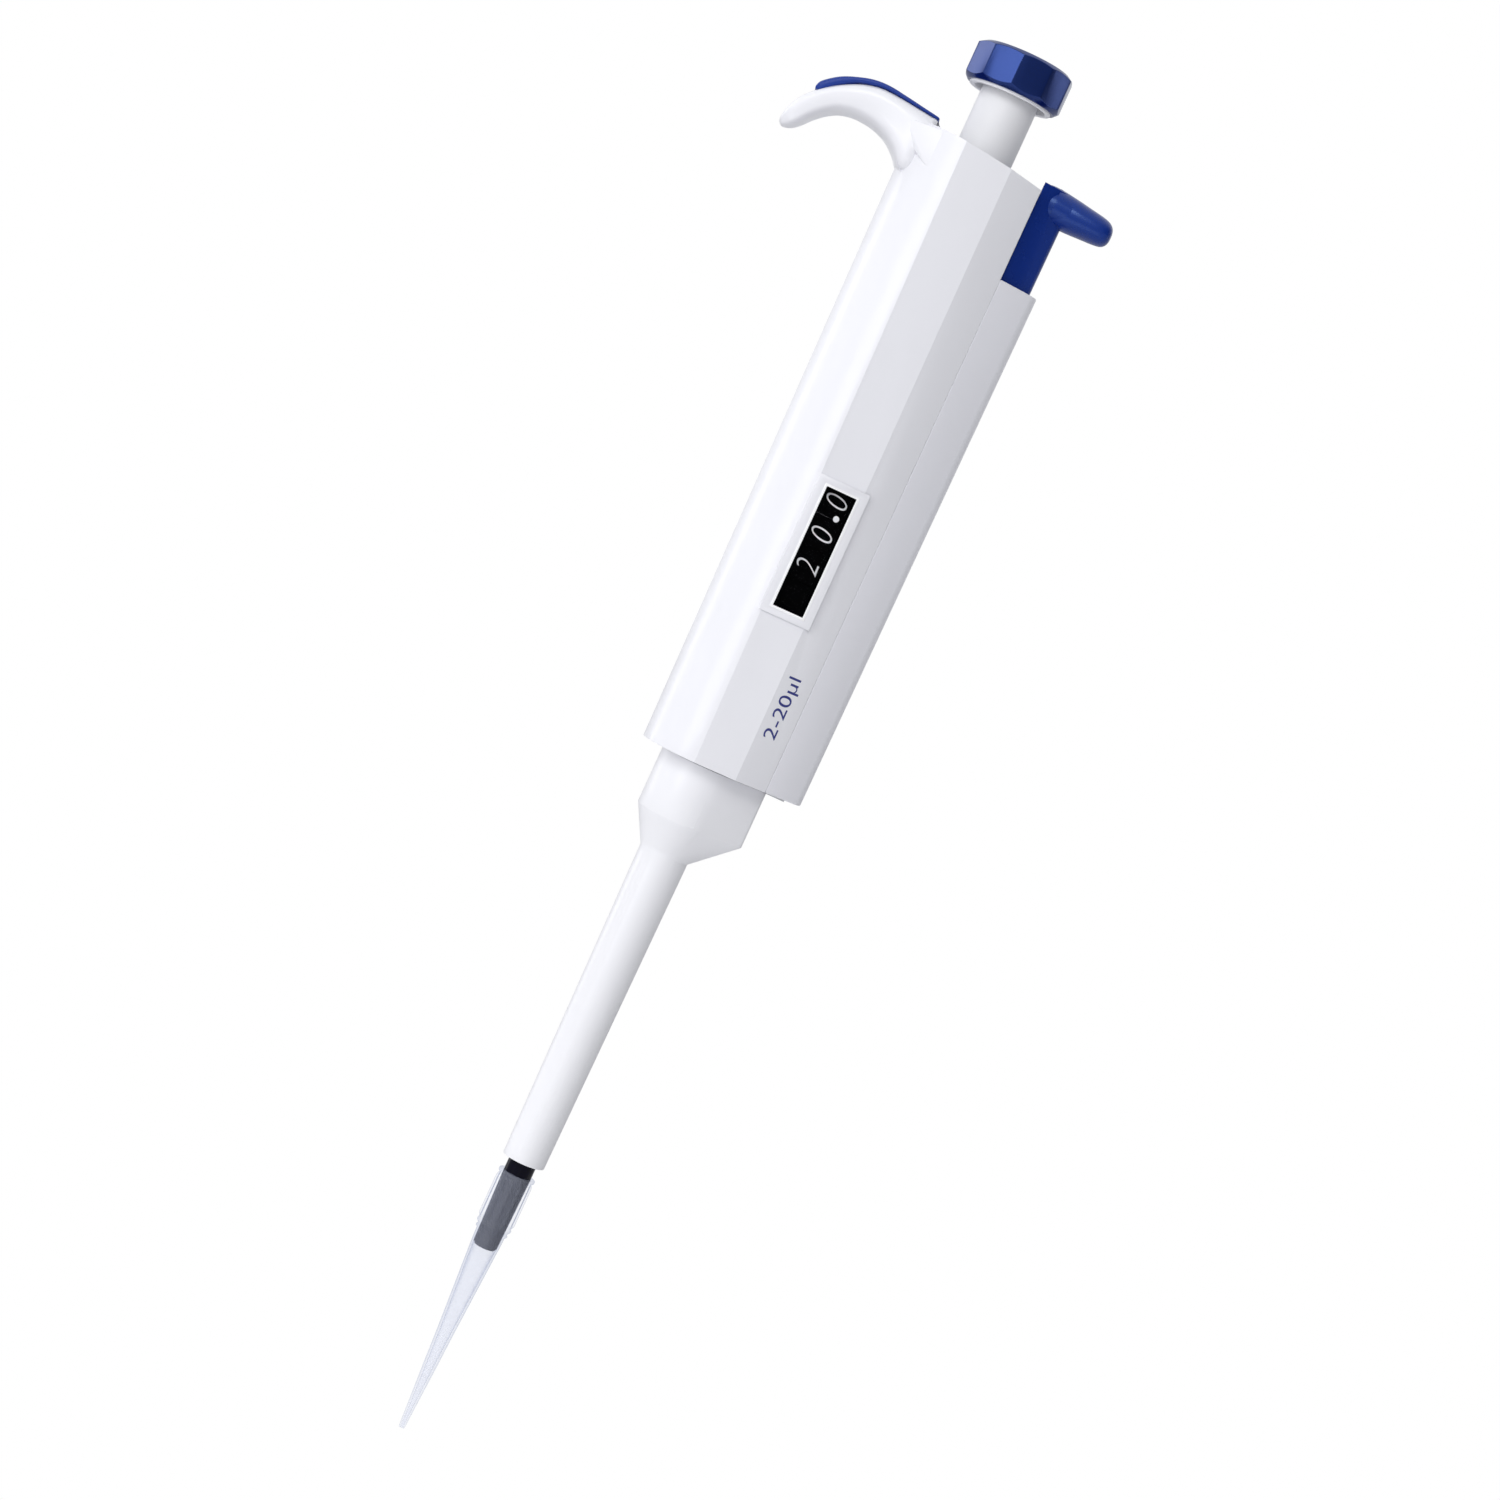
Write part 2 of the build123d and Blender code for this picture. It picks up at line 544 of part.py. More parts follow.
# ---------------------------------------------------------------- nozzle and tip
with BuildPart() as nozzle:
    add(
        turned(
            (SPRING_WELL_RADIUS, BOSS_BOTTOM_Z),
            (BOSS_RADIUS, BOSS_BOTTOM_Z),
            (BOSS_RADIUS, BOSS_BOTTOM_Z - 1.6),
            (NOZZLE_BODY_RADIUS, BOSS_BOTTOM_Z - 1.6),
            (NOZZLE_BODY_RADIUS, SEAL_FLOOR_Z + 0.6),
            (3.3, -17.0),
            (SEAT_TOP_RADIUS, -72.0),
            (SEAT_TOP_RADIUS, TIP_TOP_Z),
            (SEAT_END_RADIUS, SEAT_END_Z),
            (SEAT_END_RADIUS - 0.3, NOZZLE_END_Z),
            (0.5, NOZZLE_END_Z),
            (0.5, -64.0),
            (1.35, -62.0),
            (1.35, SEAL_FLOOR_Z),
            (SPRING_WELL_RADIUS, SEAL_FLOOR_Z),
        )
    )
save(nozzle, "nozzle")

with BuildPart() as coupling_nut:
    nut_bottom_z = BOSS_BOTTOM_Z - 2.8
    add(ring(NUT_RADIUS, BOSS_RADIUS + RUNNING, BOSS_BOTTOM_Z - 1.65, -1.0))
    add(ring(NUT_RADIUS, NOZZLE_BODY_RADIUS + RUNNING, nut_bottom_z, BOSS_BOTTOM_Z - 1.65))
save(coupling_nut, "coupling_nut")

with BuildPart() as pipette_tip:
    add(
        turned(
            (SEAT_TOP_RADIUS + RUNNING, TIP_TOP_Z),
            (3.4, TIP_TOP_Z),
            (3.4, TIP_TOP_Z - 10.0),
            (2.75, TIP_TOP_Z - 10.9),
            (2.6, -92.9),
            (1.55, -110.3),
            (1.2, -117.3),
            (0.8, -124.2),
            (0.55, TIP_END_Z),
            (0.25, TIP_END_Z),
            (0.4, -124.2),
            (0.7, -117.3),
            (1.05, -110.3),
            (2.1, -94.6),
            (SEAT_END_RADIUS + RUNNING, SEAT_END_Z),
        )
    )
save(pipette_tip, "pipette_tip")

# ---------------------------------------------------------------- ejector
with BuildPart() as ejector_button:
    add(arm_envelope)
    split(bisect_by=Plane(origin=(SEAM_X + ARM_GAP, 0, 0), z_dir=(1, 0, 0)), keep=Keep.TOP)
    split(bisect_by=Plane.XY.offset(ARM_BOTTOM_Z), keep=Keep.TOP)
    split(bisect_by=Plane.XY.offset(ARM_TOP_Z), keep=Keep.BOTTOM)
    add(thumb_lever.part)
    with BuildSketch(Plane.XY.offset(ARM_BOTTOM_Z)):
        with Locations((EJECTOR_ROD_X, 0)):
            Circle(EJECTOR_ROD_RADIUS)
    extrude(amount=6.0, mode=Mode.SUBTRACT)
save(ejector_button, "ejector_button")

with BuildPart() as ejector_rod:
    foot_top_z = TONGUE_TOP_Z + 2.4
    foot_low = (SLOT_START_X + ARM_GAP, -TONGUE_HALF_WIDTH, TONGUE_TOP_Z)
    add(block(foot_low, (15.2, TONGUE_HALF_WIDTH, foot_top_z)))
    add(block((SEAM_X + ARM_GAP, -1.7, -0.4), (15.2, 1.7, foot_top_z)))
    with BuildSketch(Plane.XY.offset(foot_top_z)):
        with Locations((EJECTOR_ROD_X, 0)):
            Circle(EJECTOR_ROD_RADIUS)
    extrude(amount=ARM_BOTTOM_Z + 6.0 - foot_top_z)
save(ejector_rod, "ejector_rod")

with BuildPart() as ejector_spring:
    add(coil_spring(1.7, 0.4, LEDGE_TOP_Z, ARM_BOTTOM_Z, 10, EJECTOR_ROD_X))
save(ejector_spring, "ejector_spring")


with BuildPart() as ejector_sleeve:
    with BuildSketch(Plane.XY.offset(SKIRT_BOTTOM_Z)):
        add(skirt_outline(0))
    extrude(amount=SKIRT_TOP_Z - SKIRT_BOTTOM_Z)
    with BuildSketch(Plane.XY.offset(SKIRT_BOTTOM_Z)):
        add(skirt_outline(0))
    with BuildSketch(Plane.XY.offset(TUBE_TOP_Z)):
        Circle(TUBE_TOP_RADIUS)
    loft()
    add(
        turned(
            (0, TUBE_TOP_Z),
            (TUBE_TOP_RADIUS, TUBE_TOP_Z),
            (TUBE_END_RADIUS, TUBE_END_Z),
            (0, TUBE_END_Z),
        )
    )
    add(block((8.3, -TONGUE_HALF_WIDTH, SKIRT_BOTTOM_Z + 5), (11.0, TONGUE_HALF_WIDTH, TONGUE_TOP_Z)))
    cavity = turned(
        (0, SKIRT_TOP_Z),
        (SKIRT_RADIUS - 1.05, SKIRT_TOP_Z),
        (SKIRT_RADIUS - 1.05, SKIRT_BOTTOM_Z + 0.6),
        (TUBE_TOP_RADIUS - 0.75, TUBE_TOP_Z + 0.3),
        (TUBE_END_RADIUS - 0.75, TUBE_END_Z + 1.5),
        (SEAT_TOP_RADIUS + 0.2, TUBE_END_Z + 1.5),
        (SEAT_TOP_RADIUS + 0.2, TUBE_END_Z),
        (0, TUBE_END_Z),
    )
    add(cavity, mode=Mode.SUBTRACT)
save(ejector_sleeve, "ejector_sleeve")
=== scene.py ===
"""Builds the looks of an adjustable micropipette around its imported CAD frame, in metres."""
import logging
import math
from dataclasses import dataclass, field
from enum import Enum
from typing import Callable, Sequence

import bmesh
import bpy
from mathutils import Matrix, Vector


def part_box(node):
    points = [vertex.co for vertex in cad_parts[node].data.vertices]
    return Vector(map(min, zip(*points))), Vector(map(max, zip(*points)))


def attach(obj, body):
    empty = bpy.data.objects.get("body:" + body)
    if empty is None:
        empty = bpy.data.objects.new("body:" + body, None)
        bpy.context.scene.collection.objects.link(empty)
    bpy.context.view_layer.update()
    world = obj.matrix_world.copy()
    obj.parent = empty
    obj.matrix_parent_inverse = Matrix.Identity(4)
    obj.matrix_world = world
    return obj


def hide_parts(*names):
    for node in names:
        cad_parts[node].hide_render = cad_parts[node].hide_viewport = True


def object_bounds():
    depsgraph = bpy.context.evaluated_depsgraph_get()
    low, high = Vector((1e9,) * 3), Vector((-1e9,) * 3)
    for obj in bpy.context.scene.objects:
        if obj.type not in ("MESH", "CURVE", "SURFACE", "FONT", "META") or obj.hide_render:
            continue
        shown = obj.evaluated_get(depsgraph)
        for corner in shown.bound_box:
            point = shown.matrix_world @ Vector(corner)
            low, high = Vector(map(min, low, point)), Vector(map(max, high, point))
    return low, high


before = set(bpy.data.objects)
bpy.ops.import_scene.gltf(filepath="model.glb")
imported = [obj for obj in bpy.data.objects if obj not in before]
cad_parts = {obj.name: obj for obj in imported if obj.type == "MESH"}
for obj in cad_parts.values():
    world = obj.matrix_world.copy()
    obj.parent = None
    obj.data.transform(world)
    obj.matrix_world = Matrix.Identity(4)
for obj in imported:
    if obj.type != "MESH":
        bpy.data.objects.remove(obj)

CAD_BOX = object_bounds()
MM = 0.001
MERGE = 1e-7
LOG = logging.getLogger("micropipette")
Colour = tuple[float, float, float]
Station = tuple[float, ...]
Profile = Sequence[tuple[float, float]]
Mesh = bmesh.types.BMesh
Socket = bpy.types.NodeSocket


class Body(Enum):
    """The frame's bodies that pieces ride on."""

    HANDLE = "handle"
    PLUNGER = "plunger"
    EJECTOR = "ejector"
    TIP = "tip"
    TENS_DRUM = "tens_drum"
    UNITS_DRUM = "units_drum"
    TENTHS_DRUM = "tenths_drum"


class Slot(Enum):
    """The record's material slots."""

    SHELL = "white_shell"
    STRIP = "strip_white"
    SLEEVE = "sleeve_white"
    PLUNGER = "grey_sleeve"
    RIM = "rim_white"
    KNOB = "knob_blue"
    BUTTON = "ejector_blue"
    PAD = "pad_blue"
    NOZZLE = "nozzle_black"
    DRUM = "drum_black"
    LENS = "lens_clear"
    TIP = "tip_clear"
    STEEL = "steel"


def mm(*values: float) -> Vector:
    """Return millimetres as a vector in metres."""
    return Vector(values) * MM


def srgb(red: int, green: int, blue: int) -> Colour:
    """Return a display colour as linear light.

    Args:
        red, green, blue: display values from 0 to 255.

    Returns:
        The linear colour that a shader takes.
    """
    def linear(value: int) -> float:
        """Return one channel in linear light."""
        share = value / 255
        return share / 12.92 if share <= 0.04045 else ((share + 0.055) / 1.055) ** 2.4
    return linear(red), linear(green), linear(blue)


def placed(name: str, data: bpy.types.ID) -> bpy.types.Object:
    """Put a new object into the scene.

    Args:
        name: the object's name.
        data: the mesh, curve, lamp or camera that it holds.

    Returns:
        The new object.
    """
    item = bpy.data.objects.new(name, data)
    bpy.context.scene.collection.objects.link(item)
    return item


def facet_axes(degrees: float) -> tuple[Vector, Vector]:
    """Return the outward and sideways directions of a face turned from the front towards +X."""
    turn = math.radians(degrees)
    return Vector((math.sin(turn), -math.cos(turn), 0)), Vector((math.cos(turn), math.sin(turn), 0))


# Finishes.
class Nodes:
    """Small helper that adds nodes to the tree of a material or a world."""

    def __init__(self, owner: bpy.types.Material | bpy.types.World,
                 output: str = "OutputMaterial") -> None:
        """Empty the owner's tree, and give it an output and a coordinate node.

        Args:
            owner: the material or world.
            output: the output node's type without its ShaderNode prefix.
        """
        owner.use_nodes = True
        self.owner = owner
        self.tree = owner.node_tree
        self.tree.nodes.clear()
        self.output = self.add(output)
        self.place = self.add("TexCoord")

    @classmethod
    def of_material(cls, name: str) -> "Nodes":
        """Return the helper of a new material."""
        return cls(bpy.data.materials.new(name))

    def add(self, kind: str, **inputs: object) -> bpy.types.Node:
        """Add a node and set its inputs.

        Args:
            kind: the node type without its ShaderNode prefix.
            inputs: socket names, with underscores for spaces, and their values.

        Returns:
            The new node.
        """
        node = self.tree.nodes.new("ShaderNode" + kind)
        for name, value in inputs.items():
            node.inputs[name.replace("_", " ")].default_value = value
        return node

    def link(self, source: Socket, target: Socket) -> None:
        """Join an output socket to an input socket."""
        self.tree.links.new(source, target)

    def noise(self, scale: float, detail: float = 2.0,
              stretch: Sequence[float] = (1, 1, 1)) -> bpy.types.Node:
        """Add a noise texture on the object's own coordinates.

        Args:
            scale: features per metre.
            detail: octaves of noise.
            stretch: scale along each axis.

        Returns:
            The noise node.
        """
        mapping = self.add("Mapping", Scale=tuple(stretch))
        self.link(self.place.outputs["Object"], mapping.inputs["Vector"])
        node = self.add("TexNoise", Scale=scale, Detail=detail)
        self.link(mapping.outputs["Vector"], node.inputs["Vector"])
        return node

    def ramp(self, source: Socket, low: Colour, high: Colour, start: float = 0.35,
             end: float = 0.65) -> Socket:
        """Turn a 0 to 1 value into a colour between two colours.

        Args:
            source: the value's socket.
            low, high: the two colours.
            start, end: the values at which the change starts and ends.

        Returns:
            The colour's socket.
        """
        node = self.add("ValToRGB")
        node.color_ramp.elements[0].color = (*low, 1)
        node.color_ramp.elements[1].color = (*high, 1)
        node.color_ramp.elements[0].position = start
        node.color_ramp.elements[1].position = end
        self.link(source, node.inputs["Fac"])
        return node.outputs["Color"]

    def spread(self, source: Socket, low: float, high: float, start: float = 0.3,
               end: float = 0.7) -> Socket:
        """Map a value onto low to high.

        Args:
            source: the value's socket.
            low, high: the results at the start and the end.
            start, end: the values at which the change starts and ends.

        Returns:
            The result's socket.
        """
        node = self.add("MapRange", From_Min=start, From_Max=end, To_Min=low, To_Max=high)
        self.link(source, node.inputs["Value"])
        return node.outputs["Result"]

    def bump(self, source: Socket, depth: float) -> Socket:
        """Turn a height into a normal.

        Args:
            source: the height's socket.
            depth: the relief in metres.

        Returns:
            The normal's socket.
        """
        node = self.add("Bump", Strength=1.0, Distance=depth)
        self.link(source, node.inputs["Height"])
        return node.outputs["Normal"]

    def show(self, felt: bpy.types.Node, seen: bpy.types.Node) -> None:
        """Light the scene with one shader and show another.

        Args:
            felt: the shader that lights the scene.
            seen: the shader seen directly or through clear plastic.
        """
        path = self.add("LightPath")
        direct = self.add("Math")
        direct.operation = "MAXIMUM"
        self.link(path.outputs["Is Camera Ray"], direct.inputs[0])
        self.link(path.outputs["Is Transmission Ray"], direct.inputs[1])
        mix = self.add("MixShader")
        self.link(direct.outputs["Value"], mix.inputs["Fac"])
        self.link(felt.outputs[0], mix.inputs[1])
        self.link(seen.outputs[0], mix.inputs[2])
        self.link(mix.outputs["Shader"], self.output.inputs["Surface"])


@dataclass(frozen=True)
class Moulded:
    """Injection-moulded plastic: faint tone drift, uneven gloss and a fine tool texture."""

    name: str
    colour: Colour
    drift: float = 0.02
    roughness: float = 0.3
    gloss_spread: float = 0.05
    grain: float = 2500.0
    depth: float = 0.000004
    coat: float = 0.0
    coat_roughness: float = 0.1
    specular: float = 0.5
    tint: Colour = (1.0, 1.0, 1.0)
    index: float = 1.5
    tone_scale: float = 60.0
    gloss_scale: float = 240.0

    def material(self) -> bpy.types.Material:
        """Build this finish.

        Returns:
            The new material.
        """
        nodes = Nodes.of_material(self.name)
        shader = nodes.add("BsdfPrincipled", IOR=self.index, Coat_Weight=self.coat,
                           Coat_Roughness=self.coat_roughness, Specular_Tint=(*self.tint, 1),
                           Specular_IOR_Level=self.specular)
        low = tuple(max(0.0, part * (1 - self.drift)) for part in self.colour)
        high = tuple(min(1.0, part * (1 + self.drift)) for part in self.colour)
        tone = nodes.noise(self.tone_scale, 3.0, (1, 1, 0.4))
        nodes.link(nodes.ramp(tone.outputs["Fac"], low, high), shader.inputs["Base Color"])
        gloss = nodes.noise(self.gloss_scale, 4.0)
        rough = nodes.spread(gloss.outputs["Fac"], self.roughness - self.gloss_spread / 2,
                             self.roughness + self.gloss_spread / 2)
        nodes.link(rough, shader.inputs["Roughness"])
        grain = nodes.noise(self.grain, 2.0)
        nodes.link(nodes.bump(grain.outputs["Fac"], self.depth), shader.inputs["Normal"])
        nodes.link(shader.outputs["BSDF"], nodes.output.inputs["Surface"])
        return nodes.owner


@dataclass(frozen=True)
class Clear:
    """Thin clear plastic with faint flow lines, and painted shade that darkens it where it is seen
    edge on.
    """

    name: str
    colour: Colour
    middle: Colour
    # edge: the painted shade colour where a wall is seen edge on.
    edge: Colour
    haze: float = 0.1
    roughness: float = 0.06
    specular: float = 0.5
    streak: float = 0.16
    shade: float = 0.96
    flow_scale: float = 300.0
    flow_stretch: float = 0.06
    gloss_scale: float = 400.0
    gloss_range: tuple[float, float] = (0.7, 1.3)
    edge_start: float = 0.3

    def material(self) -> bpy.types.Material:
        """Build this finish.

        Returns:
            The new material.
        """
        nodes = Nodes.of_material(self.name)
        shader = nodes.add("BsdfPrincipled", Specular_IOR_Level=self.specular)
        flow = nodes.noise(self.flow_scale, 2.0, (1, 1, self.flow_stretch))
        low = tuple(part * self.shade for part in self.colour)
        nodes.link(nodes.ramp(flow.outputs["Fac"], low, self.colour), shader.inputs["Base Color"])
        gloss = nodes.noise(self.gloss_scale, 2.0)
        low, high = (self.roughness * part for part in self.gloss_range)
        nodes.link(nodes.spread(gloss.outputs["Fac"], low, high), shader.inputs["Roughness"])
        # Painted shade: the see-through colour turns towards the edge colour where the wall is seen
        # edge on, standing in for light bent away there.
        rim = nodes.add("LayerWeight", Blend=0.5)
        share = nodes.add("Math")
        share.operation = "MULTIPLY_ADD"
        share.inputs[1].default_value = self.streak
        nodes.link(flow.outputs["Fac"], share.inputs[0])
        nodes.link(rim.outputs["Facing"], share.inputs[2])
        through = nodes.add("BsdfTransparent")
        nodes.link(nodes.ramp(share.outputs["Value"], self.middle, self.edge, self.edge_start, 1.0),
                   through.inputs["Color"])
        mix = nodes.add("MixShader", Fac=self.haze)
        nodes.link(through.outputs["BSDF"], mix.inputs[1])
        nodes.link(shader.outputs["BSDF"], mix.inputs[2])
        nodes.link(mix.outputs["Shader"], nodes.output.inputs["Surface"])
        return nodes.owner


@dataclass(frozen=True)
class Turned:
    """Turned or drawn metal with fine lines around the axis."""

    name: str
    colour: Colour
    roughness: float = 0.25
    depth: float = 0.0000004
    shade: float = 0.96
    line_scale: float = 60.0
    line_stretch: float = 200.0
    gloss_range: tuple[float, float] = (0.9, 1.15)

    def material(self) -> bpy.types.Material:
        """Build this finish.

        Returns:
            The new material.
        """
        nodes = Nodes.of_material(self.name)
        shader = nodes.add("BsdfPrincipled", Metallic=1.0)
        low = tuple(part * self.shade for part in self.colour)
        lines = nodes.noise(self.line_scale, 3.0, (1, 1, self.line_stretch))
        nodes.link(nodes.ramp(lines.outputs["Fac"], low, self.colour), shader.inputs["Base Color"])
        low, high = (self.roughness * part for part in self.gloss_range)
        nodes.link(nodes.spread(lines.outputs["Fac"], low, high), shader.inputs["Roughness"])
        nodes.link(nodes.bump(lines.outputs["Fac"], self.depth), shader.inputs["Normal"])
        nodes.link(shader.outputs["BSDF"], nodes.output.inputs["Surface"])
        return nodes.owner


Finish = Moulded | Clear | Turned

HANDLE_FINISH = Moulded("handle_white", srgb(238, 238, 243), drift=0.008, roughness=0.3, coat=0.25,
                        coat_roughness=0.16, depth=0.0000015)
STRIP_FINISH = Moulded("strip_white", srgb(233, 233, 239), drift=0.008, roughness=0.34,
                       coat=0.15, coat_roughness=0.2, depth=0.000002)
SLEEVE_FINISH = Moulded("ejector_sleeve_white", srgb(240, 240, 244), drift=0.008, roughness=0.34,
                        coat=0.2, coat_roughness=0.18, depth=0.000002)
PLUNGER_FINISH = Moulded("plunger_grey", srgb(234, 234, 237), drift=0.01, roughness=0.45,
                         depth=0.000002)
RIM_FINISH = Moulded("rim_white", srgb(244, 244, 247), drift=0.01, roughness=0.35)
KNOB_FINISH = Moulded("knob_blue", srgb(4, 19, 66), drift=0.03, roughness=0.16, specular=0.85,
                      index=1.9, tint=(0.15, 0.26, 0.85), depth=0.000001)
BUTTON_FINISH = Moulded("button_blue", srgb(8, 40, 124), drift=0.03, roughness=0.27, specular=0.7,
                        tint=(0.4, 0.6, 1.0), depth=0.000002)
PAD_FINISH = Moulded("pad_blue", srgb(16, 52, 140), drift=0.05, roughness=0.4, specular=0.35,
                     grain=1800.0, depth=0.000005)
NOZZLE_FINISH = Moulded("nozzle_black", srgb(2, 1, 18), drift=0.1, roughness=0.12, specular=0.16,
                        depth=0.000001)
DRUM_FINISH = Moulded("drum_black", srgb(3, 3, 4), drift=0.1, roughness=0.6, depth=0.000003,
                      specular=0.0)
DIGIT_FINISH = Moulded("digit_white", srgb(250, 251, 254), drift=0.01, roughness=0.5)
BORDER_FINISH = Moulded("border_white", srgb(254, 254, 255), drift=0.004, roughness=0.4)
INK_FINISH = Moulded("label_ink", srgb(50, 56, 128), drift=0.05, roughness=0.5)
FRAME_FINISH = Moulded("inner_grey", srgb(176, 178, 182), drift=0.04, roughness=0.45,
                       depth=0.000005)
RUBBER_FINISH = Moulded("seal_rubber", srgb(24, 24, 26), drift=0.1, roughness=0.7, depth=0.000005)
SEAL_FINISH = Moulded("seal_white", srgb(228, 228, 224), drift=0.03, roughness=0.5)
# The last colour of the tip and the lens is painted shade where the plastic is seen edge on.
TIP_FINISH = Clear("tip_clear", srgb(226, 232, 252), (0.975, 0.978, 0.988), (0.8, 0.82, 0.88),
                   haze=0.1, roughness=0.08, specular=0.8)
LENS_FINISH = Clear("lens_clear", srgb(120, 122, 128), (0.99, 0.99, 0.99), (0.9, 0.9, 0.92),
                    haze=0.004, roughness=0.03, specular=0.3)
STEEL_FINISH = Turned("drawn_steel", (0.62, 0.63, 0.65))
BRASS_FINISH = Turned("turned_brass", (0.78, 0.58, 0.25))


# Mesh workshop.
class Workshop:
    """Makes finished objects out of bmesh steps."""

    made: dict[str, bpy.types.Material] = {}
    node_merge: float = 2e-6
    flat_within: float = 0.6

    @classmethod
    def material(cls, finish: Finish) -> bpy.types.Material:
        """Return the material of a finish, made once."""
        if finish.name not in cls.made:
            cls.made[finish.name] = finish.material()
        return cls.made[finish.name]

    @classmethod
    def finished(cls, name: str, mesh: Mesh, finish: Finish,
                 smooth_angle: float) -> bpy.types.Object:
        """Turn a bmesh into a linked object with smooth shading below an angle.

        Args:
            name: the piece's name.
            mesh: the bmesh, which is freed.
            finish: the finish it is dressed in.
            smooth_angle: edges sharper than this stay crisp, in degrees.

        Returns:
            The new object.
        """
        bmesh.ops.remove_doubles(mesh, verts=mesh.verts, dist=MERGE)
        bmesh.ops.recalc_face_normals(mesh, faces=mesh.faces)
        limit = math.radians(smooth_angle)
        for face in mesh.faces:
            face.smooth = True
        for edge in mesh.edges:
            edge.smooth = len(edge.link_faces) == 2 and edge.calc_face_angle(0.0) < limit
        data = bpy.data.meshes.new(name)
        mesh.to_mesh(data)
        mesh.free()
        data.materials.append(cls.material(finish))
        return placed(name, data)

    @classmethod
    def from_node(cls, node: str) -> Mesh:
        """Return a merged copy of a CAD node's mesh, with its flat faces whole.

        Args:
            node: the CAD node's name.

        Returns:
            A new bmesh of closed faces.
        """
        mesh = bmesh.new()
        mesh.from_mesh(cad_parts[node].data)
        bmesh.ops.remove_doubles(mesh, verts=mesh.verts, dist=cls.node_merge)
        bmesh.ops.dissolve_limit(mesh, angle_limit=math.radians(cls.flat_within), verts=mesh.verts,
                                 edges=mesh.edges)
        return mesh

    @staticmethod
    def soften(mesh: Mesh, width: float, sharper_than: float = 28.0, segments: int = 3,
               keep: Callable[[bmesh.types.BMEdge], bool] = lambda edge: True) -> None:
        """Round the crisp edges of a mesh.

        Args:
            mesh: the mesh to change.
            width: bevel width in metres.
            sharper_than: only edges with a larger face angle are rounded, in degrees.
            segments: steps across the rounding.
            keep: a further test that an edge has to pass.
        """
        limit = math.radians(sharper_than)
        edges = [edge for edge in mesh.edges
                 if len(edge.link_faces) == 2 and edge.calc_face_angle(0.0) > limit and keep(edge)]
        bmesh.ops.bevel(mesh, geom=edges, offset=width, offset_type="OFFSET", affect="EDGES",
                        segments=segments, profile=0.5, clamp_overlap=True, material=-1)

    @staticmethod
    def cut(mesh: Mesh, place: Sequence[float], normal: Sequence[float], dist: float = MERGE,
            clear: bool = True) -> None:
        """Cut a mesh along a plane.

        Args:
            mesh: the mesh to change.
            place, normal: a point of the plane and its direction.
            dist: points nearer than this count as on the plane.
            clear: True removes what lies beyond it.
        """
        bmesh.ops.bisect_plane(mesh, geom=[*mesh.verts, *mesh.edges, *mesh.faces], dist=dist,
                               plane_co=place, plane_no=normal, clear_outer=clear)

    @staticmethod
    def spun(profile: Profile, steps: int) -> Mesh:
        """Spin a closed profile about the plunger axis.

        Args:
            profile: points of radius and height in millimetres, in order.
            steps: facets around the axis.

        Returns:
            A new bmesh.
        """
        mesh = bmesh.new()
        points = [mesh.verts.new(mm(radius, 0, height)) for radius, height in profile]
        edges = [mesh.edges.new(pair) for pair in zip(points, [*points[1:], points[0]])]
        bmesh.ops.spin(mesh, geom=[*points, *edges], cent=(0, 0, 0), axis=(0, 0, 1),
                       angle=math.tau, steps=steps, use_merge=True)
        bmesh.ops.remove_doubles(mesh, verts=mesh.verts, dist=MERGE)
        return mesh


def eased(stations: Sequence[Station], between: int) -> list[Station]:
    """Return stations with smooth Catmull-Rom steps added between them.

    Args:
        stations: rows of numbers in order.
        between: steps from each row to the next.

    Returns:
        The longer list of rows.
    """
    rows = [stations[0], *stations, stations[-1]]
    out = []
    for before, start, end, after in zip(rows, rows[1:], rows[2:], rows[3:]):
        for step in range(between):
            t = step / between
            out.append(tuple(
                0.5 * (2 * b + (c - a) * t + (2 * a - 5 * b + 4 * c - d) * t * t
                       + (3 * b - a - 3 * c + d) * t ** 3)
                for a, b, c, d in zip(before, start, end, after)))
    out.append(tuple(stations[-1]))
    return out


